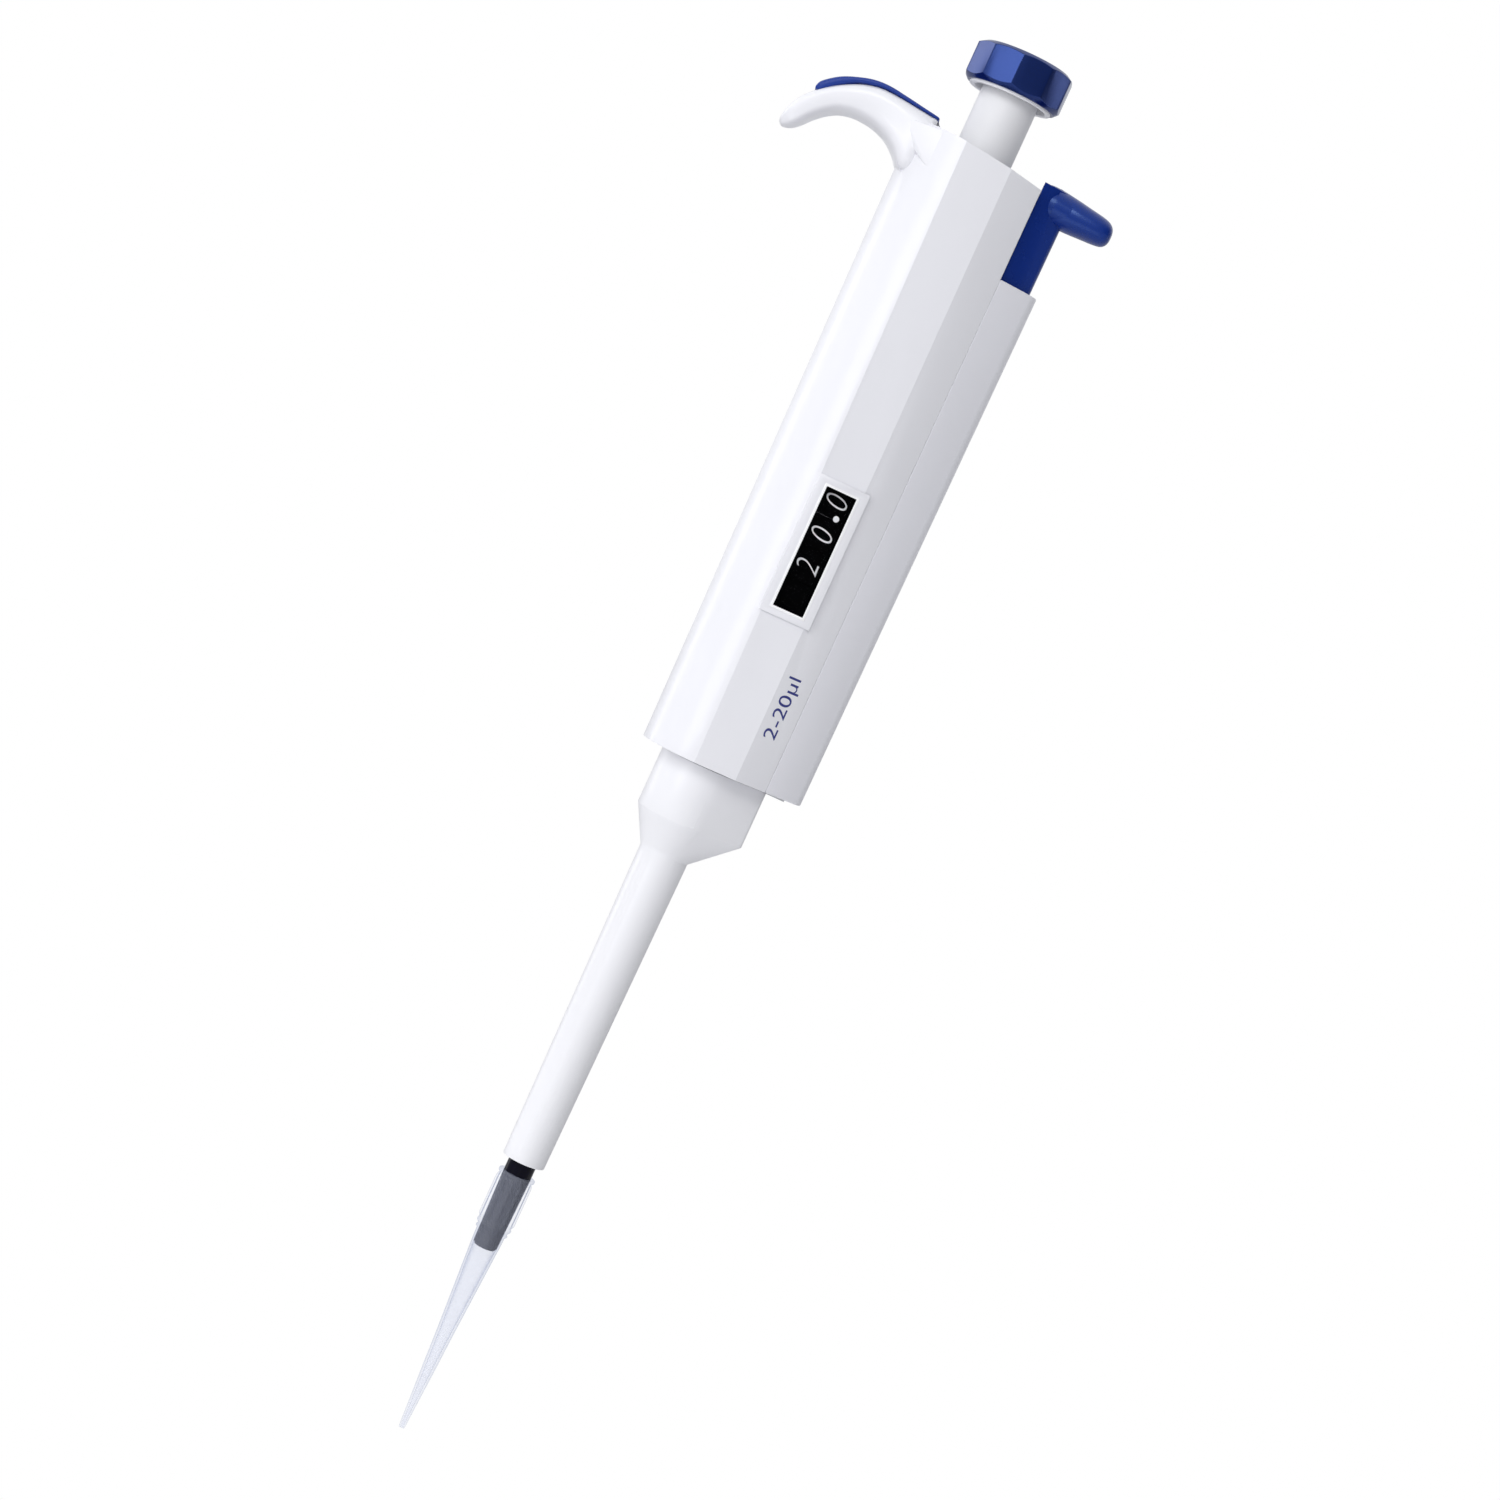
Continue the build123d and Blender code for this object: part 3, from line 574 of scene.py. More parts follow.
@dataclass(frozen=True)
class Loft:
    """A tube drawn through rounded-box sections that stand across the X-Z plane."""

    stations: Sequence[Station]
    squareness: float = 3.0
    around: int = 48
    between: int = 5

    def build(self) -> Mesh:
        """Draw the tube through every station.

        Each station holds the upper X and Z, the lower X and Z and the half width, in
        millimetres. The squareness is 2 for an ellipse and more for a fuller corner.

        Returns:
            The closed tube.
        """
        mesh = bmesh.new()
        rows = eased(self.stations, self.between)
        ring = bmesh.ops.create_circle(mesh, cap_ends=False, segments=self.around, radius=1.0)["verts"]
        turns = [math.atan2(vert.co.y, vert.co.x) for vert in ring]
        self.place(ring, turns, rows[0])
        loop = list(mesh.edges)
        bmesh.ops.contextual_create(mesh, geom=loop)
        for row in rows[1:]:
            made = bmesh.ops.extrude_edge_only(mesh, edges=loop)["geom"]
            fresh = [item for item in made if isinstance(item, bmesh.types.BMVert)]
            loop = [item for item in made if isinstance(item, bmesh.types.BMEdge)
                    and all(vert in fresh for vert in item.verts)]
            order = dict(zip(ring, turns))
            followed = []
            for vert in fresh:
                old = next(edge.other_vert(vert) for edge in vert.link_edges
                           if edge.other_vert(vert) in order)
                followed.append((vert, order[old]))
            ring = [vert for vert, turn in followed]
            turns = [turn for vert, turn in followed]
            self.place(ring, turns, row)
        bmesh.ops.contextual_create(mesh, geom=loop)
        return mesh

    def place(self, ring: Sequence[bmesh.types.BMVert], turns: Sequence[float], row: Station) -> None:
        """Set one ring of points on the section of one station.

        Args:
            ring: the points.
            turns: each point's angle round the section, in radians.
            row: the station.
        """
        top_x, top_z, low_x, low_z, half = row
        for vert, turn in zip(ring, turns):
            lift = self.full(math.cos(turn))
            side = self.full(math.sin(turn))
            vert.co = mm((top_x + low_x) / 2 + lift * (top_x - low_x) / 2, side * half,
                         (top_z + low_z) / 2 + lift * (top_z - low_z) / 2)

    def full(self, share: float) -> float:
        """Return a sine or cosine pushed out towards the section's corners."""
        return math.copysign(abs(share) ** (2 / self.squareness), share)


class Lettering:
    """Flat figures and letters, laid out in millimetres around their own middle."""

    @staticmethod
    def mesh(text: str, width: float, height: float, slant: float = 0.0,
             thin: float = 0.0) -> Mesh:
        """Return the filled outline of a text.

        Args:
            text: the characters.
            width, height: the size to fit, in millimetres.
            slant: shear of the upright strokes.
            thin: how far the strokes are drawn in, as a share of the letter size.

        Returns:
            A flat bmesh in the X-Y plane, in metres.
        """
        curve = bpy.data.curves.new("figures", "FONT")
        curve.body = text
        curve.size = 1.0
        curve.offset = -thin
        curve.shear = slant
        curve.resolution_u = 8
        holder = placed("figures", curve)
        graph = bpy.context.evaluated_depsgraph_get()
        data = bpy.data.meshes.new_from_object(holder.evaluated_get(graph))
        mesh = bmesh.new()
        mesh.from_mesh(data)
        bpy.data.objects.remove(holder)
        bpy.data.curves.remove(curve)
        bpy.data.meshes.remove(data)
        xs = [vert.co.x for vert in mesh.verts]
        ys = [vert.co.y for vert in mesh.verts]
        middle = Vector(((min(xs) + max(xs)) / 2, (min(ys) + max(ys)) / 2, 0))
        bmesh.ops.translate(mesh, verts=mesh.verts, vec=-middle)
        size = (width * MM / (max(xs) - min(xs)), height * MM / (max(ys) - min(ys)), 1)
        bmesh.ops.scale(mesh, verts=mesh.verts, vec=size)
        return mesh

    @staticmethod
    def cut_into_strips(mesh: Mesh, half: float, pitch: float) -> None:
        """Cut a flat text along lines of equal Y, so that it can follow a drum.

        Args:
            mesh: the text.
            half: half its height in millimetres.
            pitch: distance between the lines in millimetres.
        """
        count = int(half / pitch)
        for step in range(-count, count + 1):
            Workshop.cut(mesh, (0, step * pitch * MM, 0), (0, 1, 0), 1e-9, False)

    @staticmethod
    def gather(target: Mesh, extra: Mesh) -> None:
        """Move the content of one bmesh into another.

        Args:
            target: the bmesh that grows.
            extra: the bmesh that is moved, which is freed.
        """
        holder = bpy.data.meshes.new("gathered")
        extra.to_mesh(holder)
        extra.free()
        target.from_mesh(holder)
        bpy.data.meshes.remove(holder)


def settle(name: str, mesh: Mesh, finish: Finish, body: Body, slot: Slot, *replaced: str,
           smooth_angle: float = 35.0) -> None:
    """Finish a piece, make it ride on its body, and let it stand for CAD nodes.

    Args:
        name: the piece's name.
        mesh: its bmesh, which is freed.
        finish: the finish it is dressed in.
        body: the CAD body it moves with.
        slot: the record's material slot; not used.
        replaced: CAD nodes it stands for.
        smooth_angle: edges sharper than this stay crisp, in degrees.
    """
    piece = Workshop.finished(name, mesh, finish, smooth_angle)
    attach(piece, body.value)
    if replaced:
        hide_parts(*replaced)
    LOG.info("%s rides on %s", piece.name, body.value)


# Sub-assemblies.
@dataclass
class CarriedNodes:
    """CAD nodes whose own shape is right, dressed in their finishes."""

    finishes: dict[str, Finish] = field(default_factory=lambda: {
        "window_lens": LENS_FINISH, "top_bush": FRAME_FINISH, "screw_nut": BRASS_FINISH,
        "brake_ring": RUBBER_FINISH, "drum_retainer": DRUM_FINISH, "counter_frame": DRUM_FINISH,
        "blank_drum": DRUM_FINISH, "tens_drum": DRUM_FINISH, "units_drum": DRUM_FINISH,
        "tenths_drum": DRUM_FINISH, "stop_ring": BRASS_FINISH, "stop_clips": STEEL_FINISH,
        "volume_screw": STEEL_FINISH, "plunger_rod": STEEL_FINISH, "rod_collar": STEEL_FINISH,
        "piston_head": FRAME_FINISH, "piston": STEEL_FINISH, "spring_seat": STEEL_FINISH,
        "piston_seal": SEAL_FINISH, "seal_ring": RUBBER_FINISH, "seal_retainer": FRAME_FINISH,
        "coupling_nut": FRAME_FINISH, "ejector_rod": STEEL_FINISH,
    })

    def dress(self) -> None:
        """Give every carried node its material."""
        for node, finish in self.finishes.items():
            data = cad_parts[node].data
            data.materials.clear()
            data.materials.append(Workshop.material(finish))
            LOG.info("%s dressed in %s", node, finish.name)


@dataclass
class ClosedSpring:
    """A spring drawn at the length it is pressed to, which leaves room for the moving parts."""

    node: str
    body: Body
    radius: float
    wire: float
    low: float
    high: float
    turns: float
    centre_x: float = 0.0
    steps_per_turn: int = 28
    wire_segments: int = 12

    def build(self) -> None:
        """Build the coil between its low and high ends."""
        mesh = bmesh.new()
        place = mm(self.centre_x + self.radius, 0, self.low + self.wire / 2)
        upright = Matrix.Translation(place) @ Matrix.Rotation(math.radians(90), 4, "X")
        section = bmesh.ops.create_circle(mesh, cap_ends=False, segments=self.wire_segments,
                                          radius=self.wire / 2 * MM, matrix=upright)["verts"]
        steps = round(self.turns * self.steps_per_turn)
        rise = (self.high - self.low - self.wire) / steps
        bmesh.ops.spin(mesh, geom=[*section, *mesh.edges], cent=mm(self.centre_x, 0, 0),
                       axis=(0, 0, 1), dvec=mm(0, 0, rise), angle=self.turns * math.tau, steps=steps)
        ends = [edge for edge in mesh.edges if edge.is_boundary]
        bmesh.ops.holes_fill(mesh, edges=ends, sides=0)
        settle(self.node + "_coil", mesh, STEEL_FINISH, self.body, Slot.STEEL, self.node,
               smooth_angle=50.0)


@dataclass
class RoundedNode:
    """A CAD node carried over with its edges rounded as a mould leaves them."""

    node: str
    body: Body
    slot: Slot
    finish: Finish
    radius: float = 0.25
    sharper_than: float = 28.0
    segments: int = 3
    smooth_angle: float = 35.0

    def build(self) -> None:
        """Build the rounded piece that stands for the node."""
        mesh = Workshop.from_node(self.node)
        Workshop.soften(mesh, self.radius * MM, self.sharper_than, self.segments)
        settle(self.node + "_moulding", mesh, self.finish, self.body, self.slot, self.node,
               smooth_angle=self.smooth_angle)


@dataclass
class HandleShell:
    """The moulded handle, with its finger hook, the hook's gusset and the pad."""

    base_radius: float = 11.9
    top_radius: float = 13.2
    loft_height: float = 118.0
    top_height: float = 114.6
    top_slope: float = 6.0
    edge_radius: float = 0.3
    rounded_below: float = 114.5
    cut_above: float = 97.0
    cut_behind: float = -2.0
    back_gap: float = 0.06
    lid_gap: float = 0.03
    fill_point: tuple[float, float, float] = (-8.5, 0.0, 108.0)
    fill_step: float = 0.1
    root_front: float = -5.0
    gusset_radius: float = 0.25
    gusset_corners: Sequence[Station] = (
        (-15.2, 6.8, 115.1), (-7.8, 10.62, 115.3), (-7.6, 10.63, 108.1),
        (-14.8, 6.2, 113.0), (-8.0, 2.0, 115.3), (-8.0, 2.0, 108.3),
    )
    root_range: tuple[float, float] = (97.5, 117.5)
    root_gap: float = 0.03
    root_wall: float = 2.6
    hook: Sequence[Station] = (
        (-34.5, 106.15, -34.3, 105.95, 0.6),
        (-34.65, 106.75, -33.7, 105.75, 2.2),
        (-34.4, 108.0, -32.4, 106.2, 3.9),
        (-33.9, 109.5, -31.0, 107.3, 4.8),
        (-32.8, 111.4, -29.4, 109.1, 5.3),
        (-31.0, 113.3, -27.7, 110.6, 5.6),
        (-28.8, 115.0, -25.8, 111.7, 5.9),
        (-26.3, 116.5, -23.7, 112.2, 6.1),
        (-23.5, 117.7, -21.6, 112.2, 6.25),
        (-20.5, 118.3, -19.2, 111.8, 6.5),
        (-17.0, 118.1, -16.7, 110.8, 7.0),
        (-13.5, 117.7, -14.5, 109.0, 7.6),
        (-10.9, 117.35, -13.05, 107.2, 8.2),
        (-9.6, 117.15, -12.0, 106.4, 8.2),
        (-9.45, 116.0, -10.5, 106.0, 7.5),
    )
    pad: Sequence[Station] = (
        (-31.15, 114.1, -31.0, 113.3, 4.3),
        (-30.8, 115.05, -30.0, 113.2, 4.8),
        (-29.5, 116.2, -28.6, 114.3, 5.0),
        (-27.7, 117.35, -26.9, 115.6, 5.1),
        (-25.4, 118.25, -24.8, 116.9, 5.15),
        (-22.5, 119.05, -22.1, 117.7, 5.2),
        (-19.5, 119.2, -19.5, 118.0, 5.2),
        (-16.0, 118.75, -16.1, 117.7, 5.2),
        (-12.5, 118.2, -12.7, 117.3, 5.2),
        (-9.9, 117.8, -10.1, 117.0, 5.1),
        (-9.4, 117.55, -9.5, 117.1, 4.9),
    )

    def is_hook(self, place: Vector) -> bool:
        """Say whether a point lies outside the handle's own round back and top.

        Args:
            place: the point in metres.

        Returns:
            True on the CAD's finger hook.
        """
        x, y, z = place / MM
        radius = self.base_radius + (self.top_radius - self.base_radius) * z / self.loft_height
        lid = self.top_height - x * math.tan(math.radians(self.top_slope))
        beyond = math.hypot(x, y) > radius + self.back_gap or z > lid + self.lid_gap
        return z > self.cut_above and x < self.cut_behind and beyond

    def build(self) -> None:
        """Build and place the shell, the hook, its gusset and the pad."""
        shell = Workshop.from_node("handle_body")
        gone = [face for face in shell.faces if self.is_hook(face.calc_center_median())]
        bmesh.ops.delete(shell, geom=gone, context="FACES")
        rim = [edge for edge in shell.edges if edge.is_boundary]
        filled = bmesh.ops.holes_fill(shell, edges=rim, sides=0)["faces"]
        bmesh.ops.recalc_face_normals(shell, faces=shell.faces)
        centres = bmesh.ops.poke(shell, faces=filled, center_mode="MEAN")["verts"]
        x, y, z = self.fill_point
        for number, vert in enumerate(centres):
            vert.co = mm(x + self.fill_step * number, y, z)
        Workshop.soften(shell, self.edge_radius * MM, 20.0, 3, lambda edge: (
            (edge.verts[0].co.z + edge.verts[1].co.z) / 2 < self.rounded_below * MM))
        hook = Loft(self.hook, squareness=4.0, around=64).build()
        pad = Loft(self.pad, squareness=3.6, around=48).build()
        for name, mesh, smooth_angle, replaced in (
            ("handle_shell", shell, 35.0, ("handle_body",)),
            ("hook_root", self.root(), 35.0, ()),
            ("finger_hook", hook, 50.0, ()),
            ("hook_gusset", self.gusset(), 35.0, ()),
        ):
            settle(name, mesh, HANDLE_FINISH, Body.HANDLE, Slot.SHELL, *replaced,
                   smooth_angle=smooth_angle)
        settle("finger_pad", pad, PAD_FINISH, Body.HANDLE, Slot.PAD, "hook_pad", smooth_angle=50.0)

    def root(self) -> Mesh:
        """Build the round wall behind the hook's foot, just under the shell's own surface.

        Returns:
            The closed wall.
        """
        mesh = bmesh.new()
        low, high = self.root_range
        flare = self.top_radius - self.base_radius
        radii = [self.base_radius - self.root_gap + flare * height / self.loft_height
                 for height in self.root_range]
        bmesh.ops.create_cone(mesh, cap_ends=False, segments=160, radius1=radii[0] * MM,
                              radius2=radii[1] * MM, depth=(high - low) * MM,
                              matrix=Matrix.Translation(mm(0, 0, (low + high) / 2)))
        slope = math.tan(math.radians(self.top_slope))
        for place, normal in ((mm(self.root_front, 0, 0), (1, 0, 0)),
                              (mm(0, 0, self.top_height - self.root_gap), (slope, 0, 1))):
            Workshop.cut(mesh, place, normal)
        bmesh.ops.recalc_face_normals(mesh, faces=mesh.faces)
        outward = sum(face.normal.dot(face.calc_center_median()) for face in mesh.faces)
        bmesh.ops.solidify(mesh, geom=list(mesh.faces),
                           thickness=math.copysign(self.root_wall * MM, outward))
        return mesh

    def gusset(self) -> Mesh:
        """Build the wedge whose flat faces run from the hook's sides to the handle.

        Returns:
            The closed wedge.
        """
        mesh = bmesh.new()
        for side in (-1, 1):
            for x, y, z in self.gusset_corners:
                mesh.verts.new(mm(x, y * side, z))
        bmesh.ops.convex_hull(mesh, input=mesh.verts)
        bmesh.ops.dissolve_limit(mesh, angle_limit=math.radians(1), verts=mesh.verts, edges=mesh.edges)
        Workshop.soften(mesh, self.gusset_radius * MM, 15.0, 3)
        return mesh


@dataclass
class CounterFigures:
    """The figures printed on the counter's drums, and the point on the window."""

    radius: float = 9.325
    facing: float = -12.0
    step: float = 36.0
    width: float = 2.15
    height: float = 4.2
    slant: float = 0.22
    thin: float = 0.018
    one_width: float = 0.35
    strip: float = 0.3
    point_radii: tuple[float, float] = (0.55, 0.5)
    point_depth: float = 0.05
    point_along: float = 1.33
    point_back: float = 0.75
    point_level: float = 47.85
    levels: Sequence[tuple[Body, float, int, str]] = (
        (Body.TENS_DRUM, 38.45, 2, "0123456789"),
        (Body.UNITS_DRUM, 44.5, 0, "0123456789"),
        (Body.TENTHS_DRUM, 50.65, 0, "0505050505"),
    )

    def build(self) -> None:
        """Print every drum and place the decimal point."""
        for drum, level, shown, figures in self.levels:
            band = bmesh.new()
            for value, figure in enumerate(figures):
                turn = self.facing + (value - shown) * self.step
                Lettering.gather(band, self.on_drum(figure, level, turn))
            settle(drum.value + "_figures", band, DIGIT_FINISH, drum, Slot.DRUM, smooth_angle=60.0)
        self.decimal_point()

    def on_drum(self, figure: str, level: float, turn: float) -> Mesh:
        """Return one figure bent round a drum.

        Args:
            figure: the character.
            level: height of its middle in millimetres.
            turn: degrees from the front towards -X.

        Returns:
            The bent figure.
        """
        narrow = self.one_width if figure == "1" else 1.0
        mesh = Lettering.mesh(figure, self.width * narrow, self.height, self.slant, self.thin)
        Lettering.cut_into_strips(mesh, self.height / 2, self.strip)
        for vert in mesh.verts:
            angle = math.radians(turn) + vert.co.y / (self.radius * MM)
            vert.co = Vector((-self.radius * MM * math.sin(angle), -self.radius * MM * math.cos(angle),
                              level * MM + vert.co.x))
        return mesh

    def decimal_point(self) -> None:
        """Place the decimal point on the inside of the window."""
        low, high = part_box("window_lens")
        outward, along = facet_axes(-self.facing)
        middle = (Vector(low) + Vector(high)) / 2
        mesh = bmesh.new()
        back, front = self.point_radii
        bmesh.ops.create_cone(mesh, cap_ends=True, segments=32, radius1=back * MM,
                              radius2=front * MM, depth=self.point_depth * MM)
        bmesh.ops.rotate(mesh, verts=mesh.verts, cent=(0, 0, 0),
                         matrix=outward.to_track_quat("Z", "Y").to_matrix())
        place = middle + along * self.point_along * MM - outward * self.point_back * MM
        bmesh.ops.translate(mesh, verts=mesh.verts, vec=(place.x, place.y, self.point_level * MM))
        settle("decimal_point", mesh, DIGIT_FINISH, Body.HANDLE, Slot.LENS)


@dataclass
class WindowFrame:
    """A flat four-sided frame that stands on the counter's window."""

    name: str
    finish: Moulded
    slot: Slot
    hole: tuple[float, float]
    band: tuple[float, float]
    back: float
    front: float
    radius: float = 0.06
    replaced: tuple[str, ...] = ()
    facing: float = 12.0
    along: float = -0.35
    level: float = 41.25

    def build(self) -> None:
        """Build the frame between its back and front distances from the axis."""
        mesh = bmesh.new()
        bmesh.ops.create_grid(mesh, x_segments=1, y_segments=1, size=0.5 * MM)
        hole, band = self.hole, self.band
        bmesh.ops.scale(mesh, verts=mesh.verts,
                        vec=(hole[0] + 2 * band[0], hole[1] + 2 * band[1], 1))
        middle = list(mesh.faces)
        bmesh.ops.inset_region(mesh, faces=middle, thickness=min(band) * MM, use_boundary=True,
                               use_even_offset=True)
        for vert in middle[0].verts:
            vert.co.x = math.copysign(hole[0] / 2 * MM, vert.co.x)
            vert.co.y = math.copysign(hole[1] / 2 * MM, vert.co.y)
        bmesh.ops.delete(mesh, geom=middle, context="FACES")
        made = bmesh.ops.extrude_face_region(mesh, geom=list(mesh.faces), use_keep_orig=True)["geom"]
        raised = [item for item in made if isinstance(item, bmesh.types.BMVert)]
        bmesh.ops.translate(mesh, verts=raised, vec=mm(0, 0, self.front - self.back))
        facing = Matrix.Rotation(math.radians(self.facing), 4, "Z")
        upright = Matrix.Rotation(math.radians(90), 4, "X")
        place = facing @ upright @ Matrix.Translation(mm(self.along, self.level, self.back))
        bmesh.ops.transform(mesh, matrix=place, verts=mesh.verts)
        Workshop.soften(mesh, self.radius * MM, 40.0, 2)
        settle(self.name, mesh, self.finish, Body.HANDLE, self.slot, *self.replaced)


@dataclass
class RangeLabel:
    """The volume range printed on the facet beside the ejector strip."""

    text: str = "2-20\u00b5l"
    length: float = 11.4
    height: float = 3.3
    facet_angle: float = 34.5
    base_distance: float = 11.756
    top_distance: float = 11.989
    loft_height: float = 118.0
    along: float = 2.05
    level: float = 14.55
    lift: float = 0.02

    def build(self) -> None:
        """Print the label."""
        mesh = Lettering.mesh(self.text, self.length, self.height)
        outward, along = facet_axes(self.facet_angle)
        flare = self.top_distance - self.base_distance
        for vert in mesh.verts:
            height = self.level * MM + vert.co.x
            share = height / (self.loft_height * MM)
            distance = self.base_distance + flare * share + self.lift
            vert.co = (outward * distance * MM + along * (self.along * MM - vert.co.y)
                       + Vector((0, 0, height)))
        settle("range_label", mesh, INK_FINISH, Body.HANDLE, Slot.SHELL, smooth_angle=60.0)


@dataclass
class EjectorButton:
    """The ejector's arm and the round thumb lever on top of it."""

    cut_x: float = 17.9
    back_x: float = 11.8
    sliding_x: float = 11.58
    reach: float = 0.05
    edge_radius: float = 0.5
    lever: Sequence[Station] = (
        (11.75, 115.15, 11.75, 109.6, 3.3),
        (12.3, 115.4, 12.3, 109.4, 3.4),
        (13.0, 115.75, 13.0, 109.3, 3.4),
        (15.0, 115.7, 15.0, 109.2, 3.5),
        (18.0, 115.3, 18.0, 109.15, 3.8),
        (21.0, 114.8, 21.0, 109.25, 3.75),
        (23.6, 114.35, 23.6, 109.35, 3.5),
        (24.9, 113.85, 24.9, 109.6, 3.1),
        (25.6, 113.1, 25.6, 110.2, 2.3),
        (25.85, 112.3, 25.85, 110.9, 1.2),
    )

    def build(self) -> None:
        """Build the arm and the lever."""
        arm = Workshop.from_node("ejector_button")
        Workshop.cut(arm, (self.cut_x * MM, 0, 0), (1, 0, 0))
        bmesh.ops.holes_fill(arm, edges=[edge for edge in arm.edges if edge.is_boundary], sides=0)
        for vert in arm.verts:
            if vert.co.x < (self.back_x + self.reach) * MM:
                vert.co.x = self.sliding_x * MM
        Workshop.soften(arm, self.edge_radius * MM, 28.0, 4)
        settle("ejector_arm", arm, BUTTON_FINISH, Body.EJECTOR, Slot.BUTTON, "ejector_button")
        lever = Loft(self.lever, squareness=2.1, around=48).build()
        settle("thumb_lever", lever, BUTTON_FINISH, Body.EJECTOR, Slot.BUTTON, smooth_angle=60.0)


@dataclass
class DisposableTip:
    """The clear tip, with ribs round its collar."""

    ribs: int = 12
    rib_depth: float = 0.3
    rib_top: float = -80.35
    rib_bottom: float = -88.9
    rib_gap: float = 0.1
    rib_end: float = 0.5
    collar_radius: float = 3.08
    facets: int = 144
    longest_step: float = 1.2
    outer: Profile = (
        (2.61, -79.5), (3.3, -79.5), (3.38, -79.55), (3.4, -79.65), (3.4, -79.9), (3.34, -80.05),
        (3.12, -80.2), (3.08, -80.3), *((3.08, -80.7 - 0.4 * step) for step in range(21)),
        (3.08, -88.95), (3.1, -89.1), (3.2, -89.25), (3.24, -89.4), (3.18, -89.6), (2.9, -89.95),
        (2.76, -90.15), (2.76, -90.25), (2.95, -90.35), (3.0, -90.5), (2.95, -90.65), (2.72, -90.75),
        (2.68, -90.9),
    )
    taper: Profile = (
        (2.68, -91.0), (2.6, -92.9), (1.55, -110.3), (1.2, -117.3), (0.8, -124.2), (0.56, -128.9),
    )
    rim: Profile = ((0.52, -129.05), (0.48, -129.1), (0.3, -129.1), (0.26, -129.05))
    seat: Profile = ((2.27, -93.0), (2.6, -79.7))
    bore: Profile = (
        (0.26, -128.9), (0.42, -124.2), (0.75, -117.3), (1.1, -110.3), (2.1, -94.6), (2.25, -93.2),
    )

    def build(self) -> None:
        """Build the tip."""
        profile = (*self.outer, *self.divided(self.taper), *self.rim, *self.divided(self.bore),
                   *self.divided(self.seat))
        mesh = Workshop.spun(profile, self.facets)
        for vert in mesh.verts:
            self.raise_rib(vert)
        settle("clear_tip", mesh, TIP_FINISH, Body.TIP, Slot.TIP, "pipette_tip", smooth_angle=40.0)

    def divided(self, points: Profile) -> list[tuple[float, float]]:
        """Add points along a profile so that no step of its height is much over the longest.

        Args:
            points: the profile.

        Returns:
            The longer profile.
        """
        out = []
        for (radius, height), (next_radius, next_height) in zip(points, points[1:]):
            steps = max(1, round(abs(next_height - height) / self.longest_step))
            out += [(radius + (next_radius - radius) * step / steps,
                     height + (next_height - height) * step / steps) for step in range(steps)]
        return [*out, points[-1]]

    def raise_rib(self, vert: bmesh.types.BMVert) -> None:
        """Push one point of the collar's wall out where a rib stands.

        Args:
            vert: the point, which may move.
        """
        radius, height = math.hypot(vert.co.x, vert.co.y) / MM, vert.co.z / MM
        on_wall = abs(radius - self.collar_radius) < 0.02
        if not (on_wall and self.rib_bottom < height < self.rib_top):
            return
        turn = math.atan2(vert.co.y, vert.co.x) * self.ribs
        wave = max(0.0, (math.cos(turn) - self.rib_gap) / (1 - self.rib_gap)) ** 0.5
        ends = min(1.0, (self.rib_top - height) / self.rib_end,
                   (height - self.rib_bottom) / self.rib_end)
        grow = (radius + self.rib_depth * wave * ends) / radius
        vert.co.x *= grow
        vert.co.y *= grow


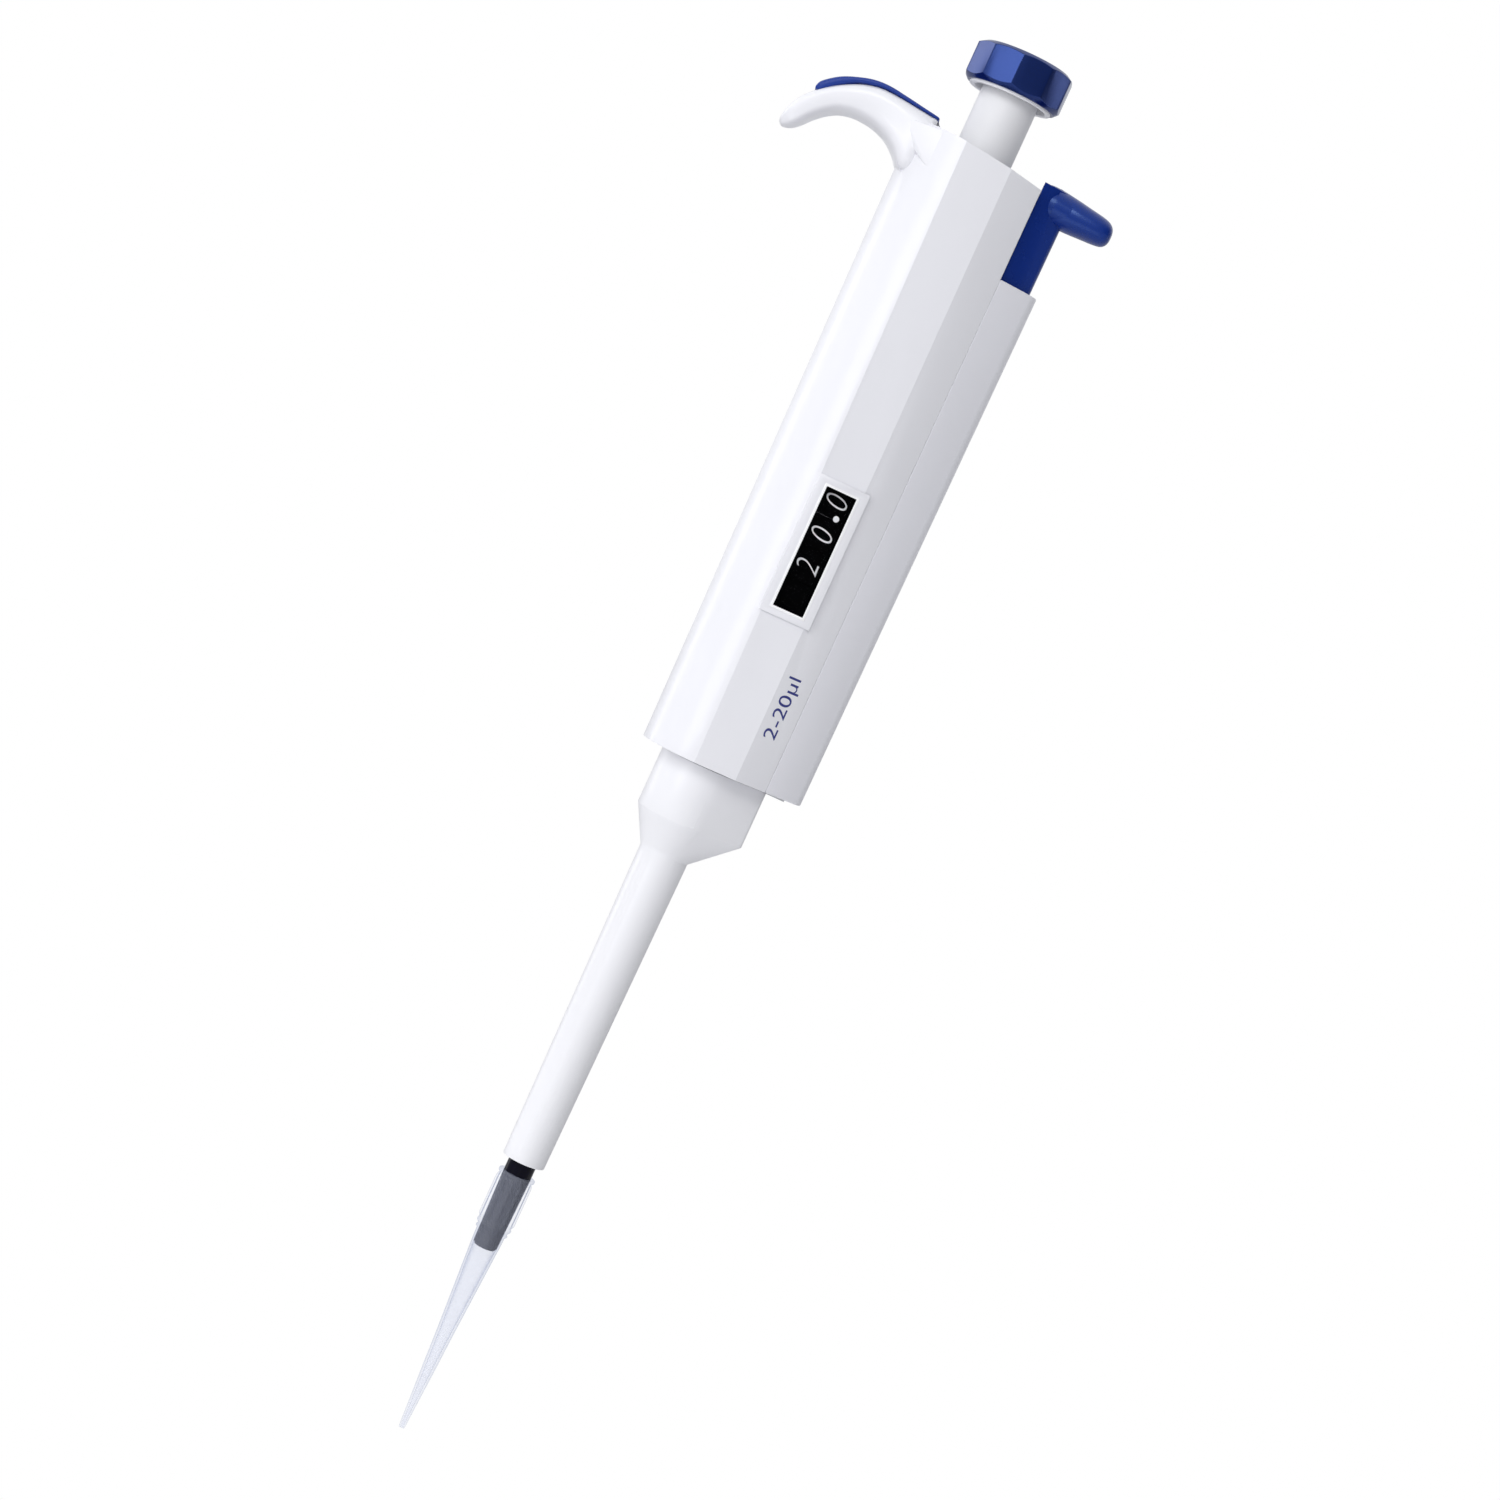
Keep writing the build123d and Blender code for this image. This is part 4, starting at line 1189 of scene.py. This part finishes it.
@dataclass
class Studio:
    """Pale floor, soft lights and the camera."""

    lean: float = 24.6
    distance: float = 0.609
    eye_height: float = 0.039
    aim: tuple[float, float] = (0.0061, 0.0053)
    focal_length: float = 84.0
    sensor_width: float = 36.0
    ambient: float = 0.86
    surround: Colour = (0.97, 0.98, 1.0)
    shade: float = 0.16
    shade_azimuth: float = 68.0
    shade_elevation: float = 6.0
    shade_range: tuple[float, float] = (0.3, 0.92)
    floor_drop: float = 0.35
    floor_size: float = 12.0
    floor_colour: Colour = (0.7, 0.7, 0.71)
    lamps: Sequence[tuple[str, float, float, float, tuple[float, float], float]] = (
        ("key", -40, 12, 1.3, (0.5, 1.1), 3.8),
        ("bounce", -15, -40, 0.6, (0.7, 0.4), 0.5),
        ("fill", -8, 30, 1.3, (0.5, 0.4), 3.0),
        ("back_left", -118, 8, 1.3, (0.3, 1.2), 1.7),
        ("right", 100, 5, 1.4, (0.12, 1.0), 0.6),
    )

    def camera(self) -> None:
        """Set the camera, rolled so that the pipette leans to the right."""
        data = bpy.data.cameras.new("camera")
        data.lens = self.focal_length
        data.sensor_width = self.sensor_width
        data.clip_start = 0.01
        data.clip_end = 50.0
        camera = placed("camera", data)
        lean = math.radians(self.lean)
        place = Vector((self.aim[0], -self.distance, self.eye_height))
        forward = (Vector((self.aim[0], 0, self.aim[1])) - place).normalized()
        up = Vector((-math.sin(lean), 0, math.cos(lean)))
        right = forward.cross(up).normalized()
        up = right.cross(forward).normalized()
        turn = Matrix((right, up, -forward)).transposed().to_4x4()
        camera.matrix_world = Matrix.Translation(place) @ turn
        bpy.context.scene.camera = camera

    @staticmethod
    def towards(azimuth: float, elevation: float) -> Vector:
        """Find a direction seen from the pipette.

        Args:
            azimuth: degrees from the viewer's side towards +X.
            elevation: degrees above the horizon.

        Returns:
            The unit direction.
        """
        turn, rise = math.radians(azimuth), math.radians(elevation)
        level = math.cos(rise)
        return Vector((math.sin(turn) * level, -math.cos(turn) * level, math.sin(rise)))

    def lamp(self, name: str, azimuth: float, elevation: float, reach: float,
             size: tuple[float, float], power: float) -> None:
        """Add a soft rectangular lamp that faces the pipette.

        Args:
            name: the lamp's name.
            azimuth: degrees from the viewer's side towards +X.
            elevation: degrees above the horizon.
            reach: distance in metres.
            size: width and height in metres.
            power: watts.
        """
        data = bpy.data.lights.new(name, "AREA")
        data.shape = "RECTANGLE"
        data.size, data.size_y = size
        data.energy = power
        lamp = placed(name, data)
        away = self.towards(azimuth, elevation)
        lamp.location = away * reach
        lamp.rotation_euler = away.to_track_quat("Z", "Y").to_euler()

    def world(self) -> None:
        """Light the scene from a white surround that is darker on one side."""
        world = bpy.data.worlds.new("studio")
        nodes = Nodes(world, "OutputWorld")
        seen = nodes.add("Background", Color=(1, 1, 1, 1), Strength=1.0)
        felt = nodes.add("Background", Color=(*self.surround, 1))
        facing = nodes.add("VectorMath")
        facing.operation = "DOT_PRODUCT"
        facing.inputs[1].default_value = self.towards(self.shade_azimuth, self.shade_elevation)
        start, end = self.shade_range
        shade = nodes.add("MapRange", From_Min=start, From_Max=end, To_Min=self.ambient,
                          To_Max=self.ambient * self.shade)
        shade.interpolation_type = "SMOOTHSTEP"
        nodes.link(nodes.place.outputs["Generated"], facing.inputs[0])
        nodes.link(facing.outputs["Value"], shade.inputs["Value"])
        nodes.link(shade.outputs["Result"], felt.inputs["Strength"])
        nodes.show(felt, seen)
        bpy.context.scene.world = world

    def floor(self) -> None:
        """Lay a wide pale floor well below the tip."""
        mesh = bmesh.new()
        bmesh.ops.create_grid(mesh, x_segments=1, y_segments=1, size=self.floor_size)
        bmesh.ops.translate(mesh, verts=mesh.verts, vec=(0, 0, CAD_BOX[0].z - self.floor_drop))
        data = bpy.data.meshes.new("floor")
        mesh.to_mesh(data)
        mesh.free()
        nodes = Nodes.of_material("floor_white")
        matt = nodes.add("BsdfDiffuse", Color=(*self.floor_colour, 1))
        nodes.show(matt, nodes.add("Emission", Color=(1, 1, 1, 1), Strength=1.0))
        data.materials.append(nodes.owner)
        placed("floor", data)

    def build(self) -> None:
        """Set up the whole studio."""
        bpy.context.scene.view_settings.view_transform = "Standard"
        self.world()
        self.floor()
        for lamp in self.lamps:
            self.lamp(*lamp)
        self.camera()
        LOG.info("studio ready")


def main() -> None:
    """Build every sub-assembly in order."""
    logging.basicConfig(level=logging.INFO, format="%(name)s: %(message)s")
    Studio().build()
    CarriedNodes().dress()
    for piece in (
        HandleShell(),
        CounterFigures(),
        WindowFrame("counter_bezel", HANDLE_FINISH, Slot.SHELL, (5.74, 22.24), (1.93, 1.53),
                    10.16, 11.72, 0.1, ("window_bezel",)),
        WindowFrame("window_border", BORDER_FINISH, Slot.SHELL, (5.66, 22.16), (0.42, 0.42),
                    11.4, 11.8),
        # The next two frames are black linings inside the window. They are painted shade over the
        # opening's white walls and over the gaps beside the drums, where the handle's inside lies in
        # shade.
        WindowFrame("window_shade_lining", DRUM_FINISH, Slot.DRUM, (5.56, 22.06), (0.12, 0.12),
                    9.45, 11.55, 0.02),
        WindowFrame("window_shade_ledge", DRUM_FINISH, Slot.DRUM, (4.9, 21.4), (0.42, 0.42),
                    9.45, 10.24, 0.02),
        RangeLabel(),
        EjectorButton(),
        DisposableTip(),
        ClosedSpring("return_spring", Body.HANDLE, 2.85, 0.55, -9.8, -0.6, 9),
        ClosedSpring("blowout_spring", Body.HANDLE, 6.2, 0.8, 4.2, 7.4, 2.5),
        ClosedSpring("ejector_spring", Body.HANDLE, 1.7, 0.4, 60.0, 71.8, 10, 14.0),
        RoundedNode("channel_cover", Body.HANDLE, Slot.STRIP, STRIP_FINISH, 0.25, 20.0, 3, 12.0),
        RoundedNode("knob", Body.PLUNGER, Slot.KNOB, KNOB_FINISH, 0.12, 15.0),
        RoundedNode("knob_rim", Body.PLUNGER, Slot.RIM, RIM_FINISH, 0.15),
        RoundedNode("plunger_sleeve", Body.PLUNGER, Slot.PLUNGER, PLUNGER_FINISH, 0.2),
        RoundedNode("nozzle", Body.HANDLE, Slot.NOZZLE, NOZZLE_FINISH, 0.1),
        RoundedNode("ejector_sleeve", Body.EJECTOR, Slot.SLEEVE, SLEEVE_FINISH, 0.3),
    ):
        piece.build()


if __name__ == "__main__":
    main()
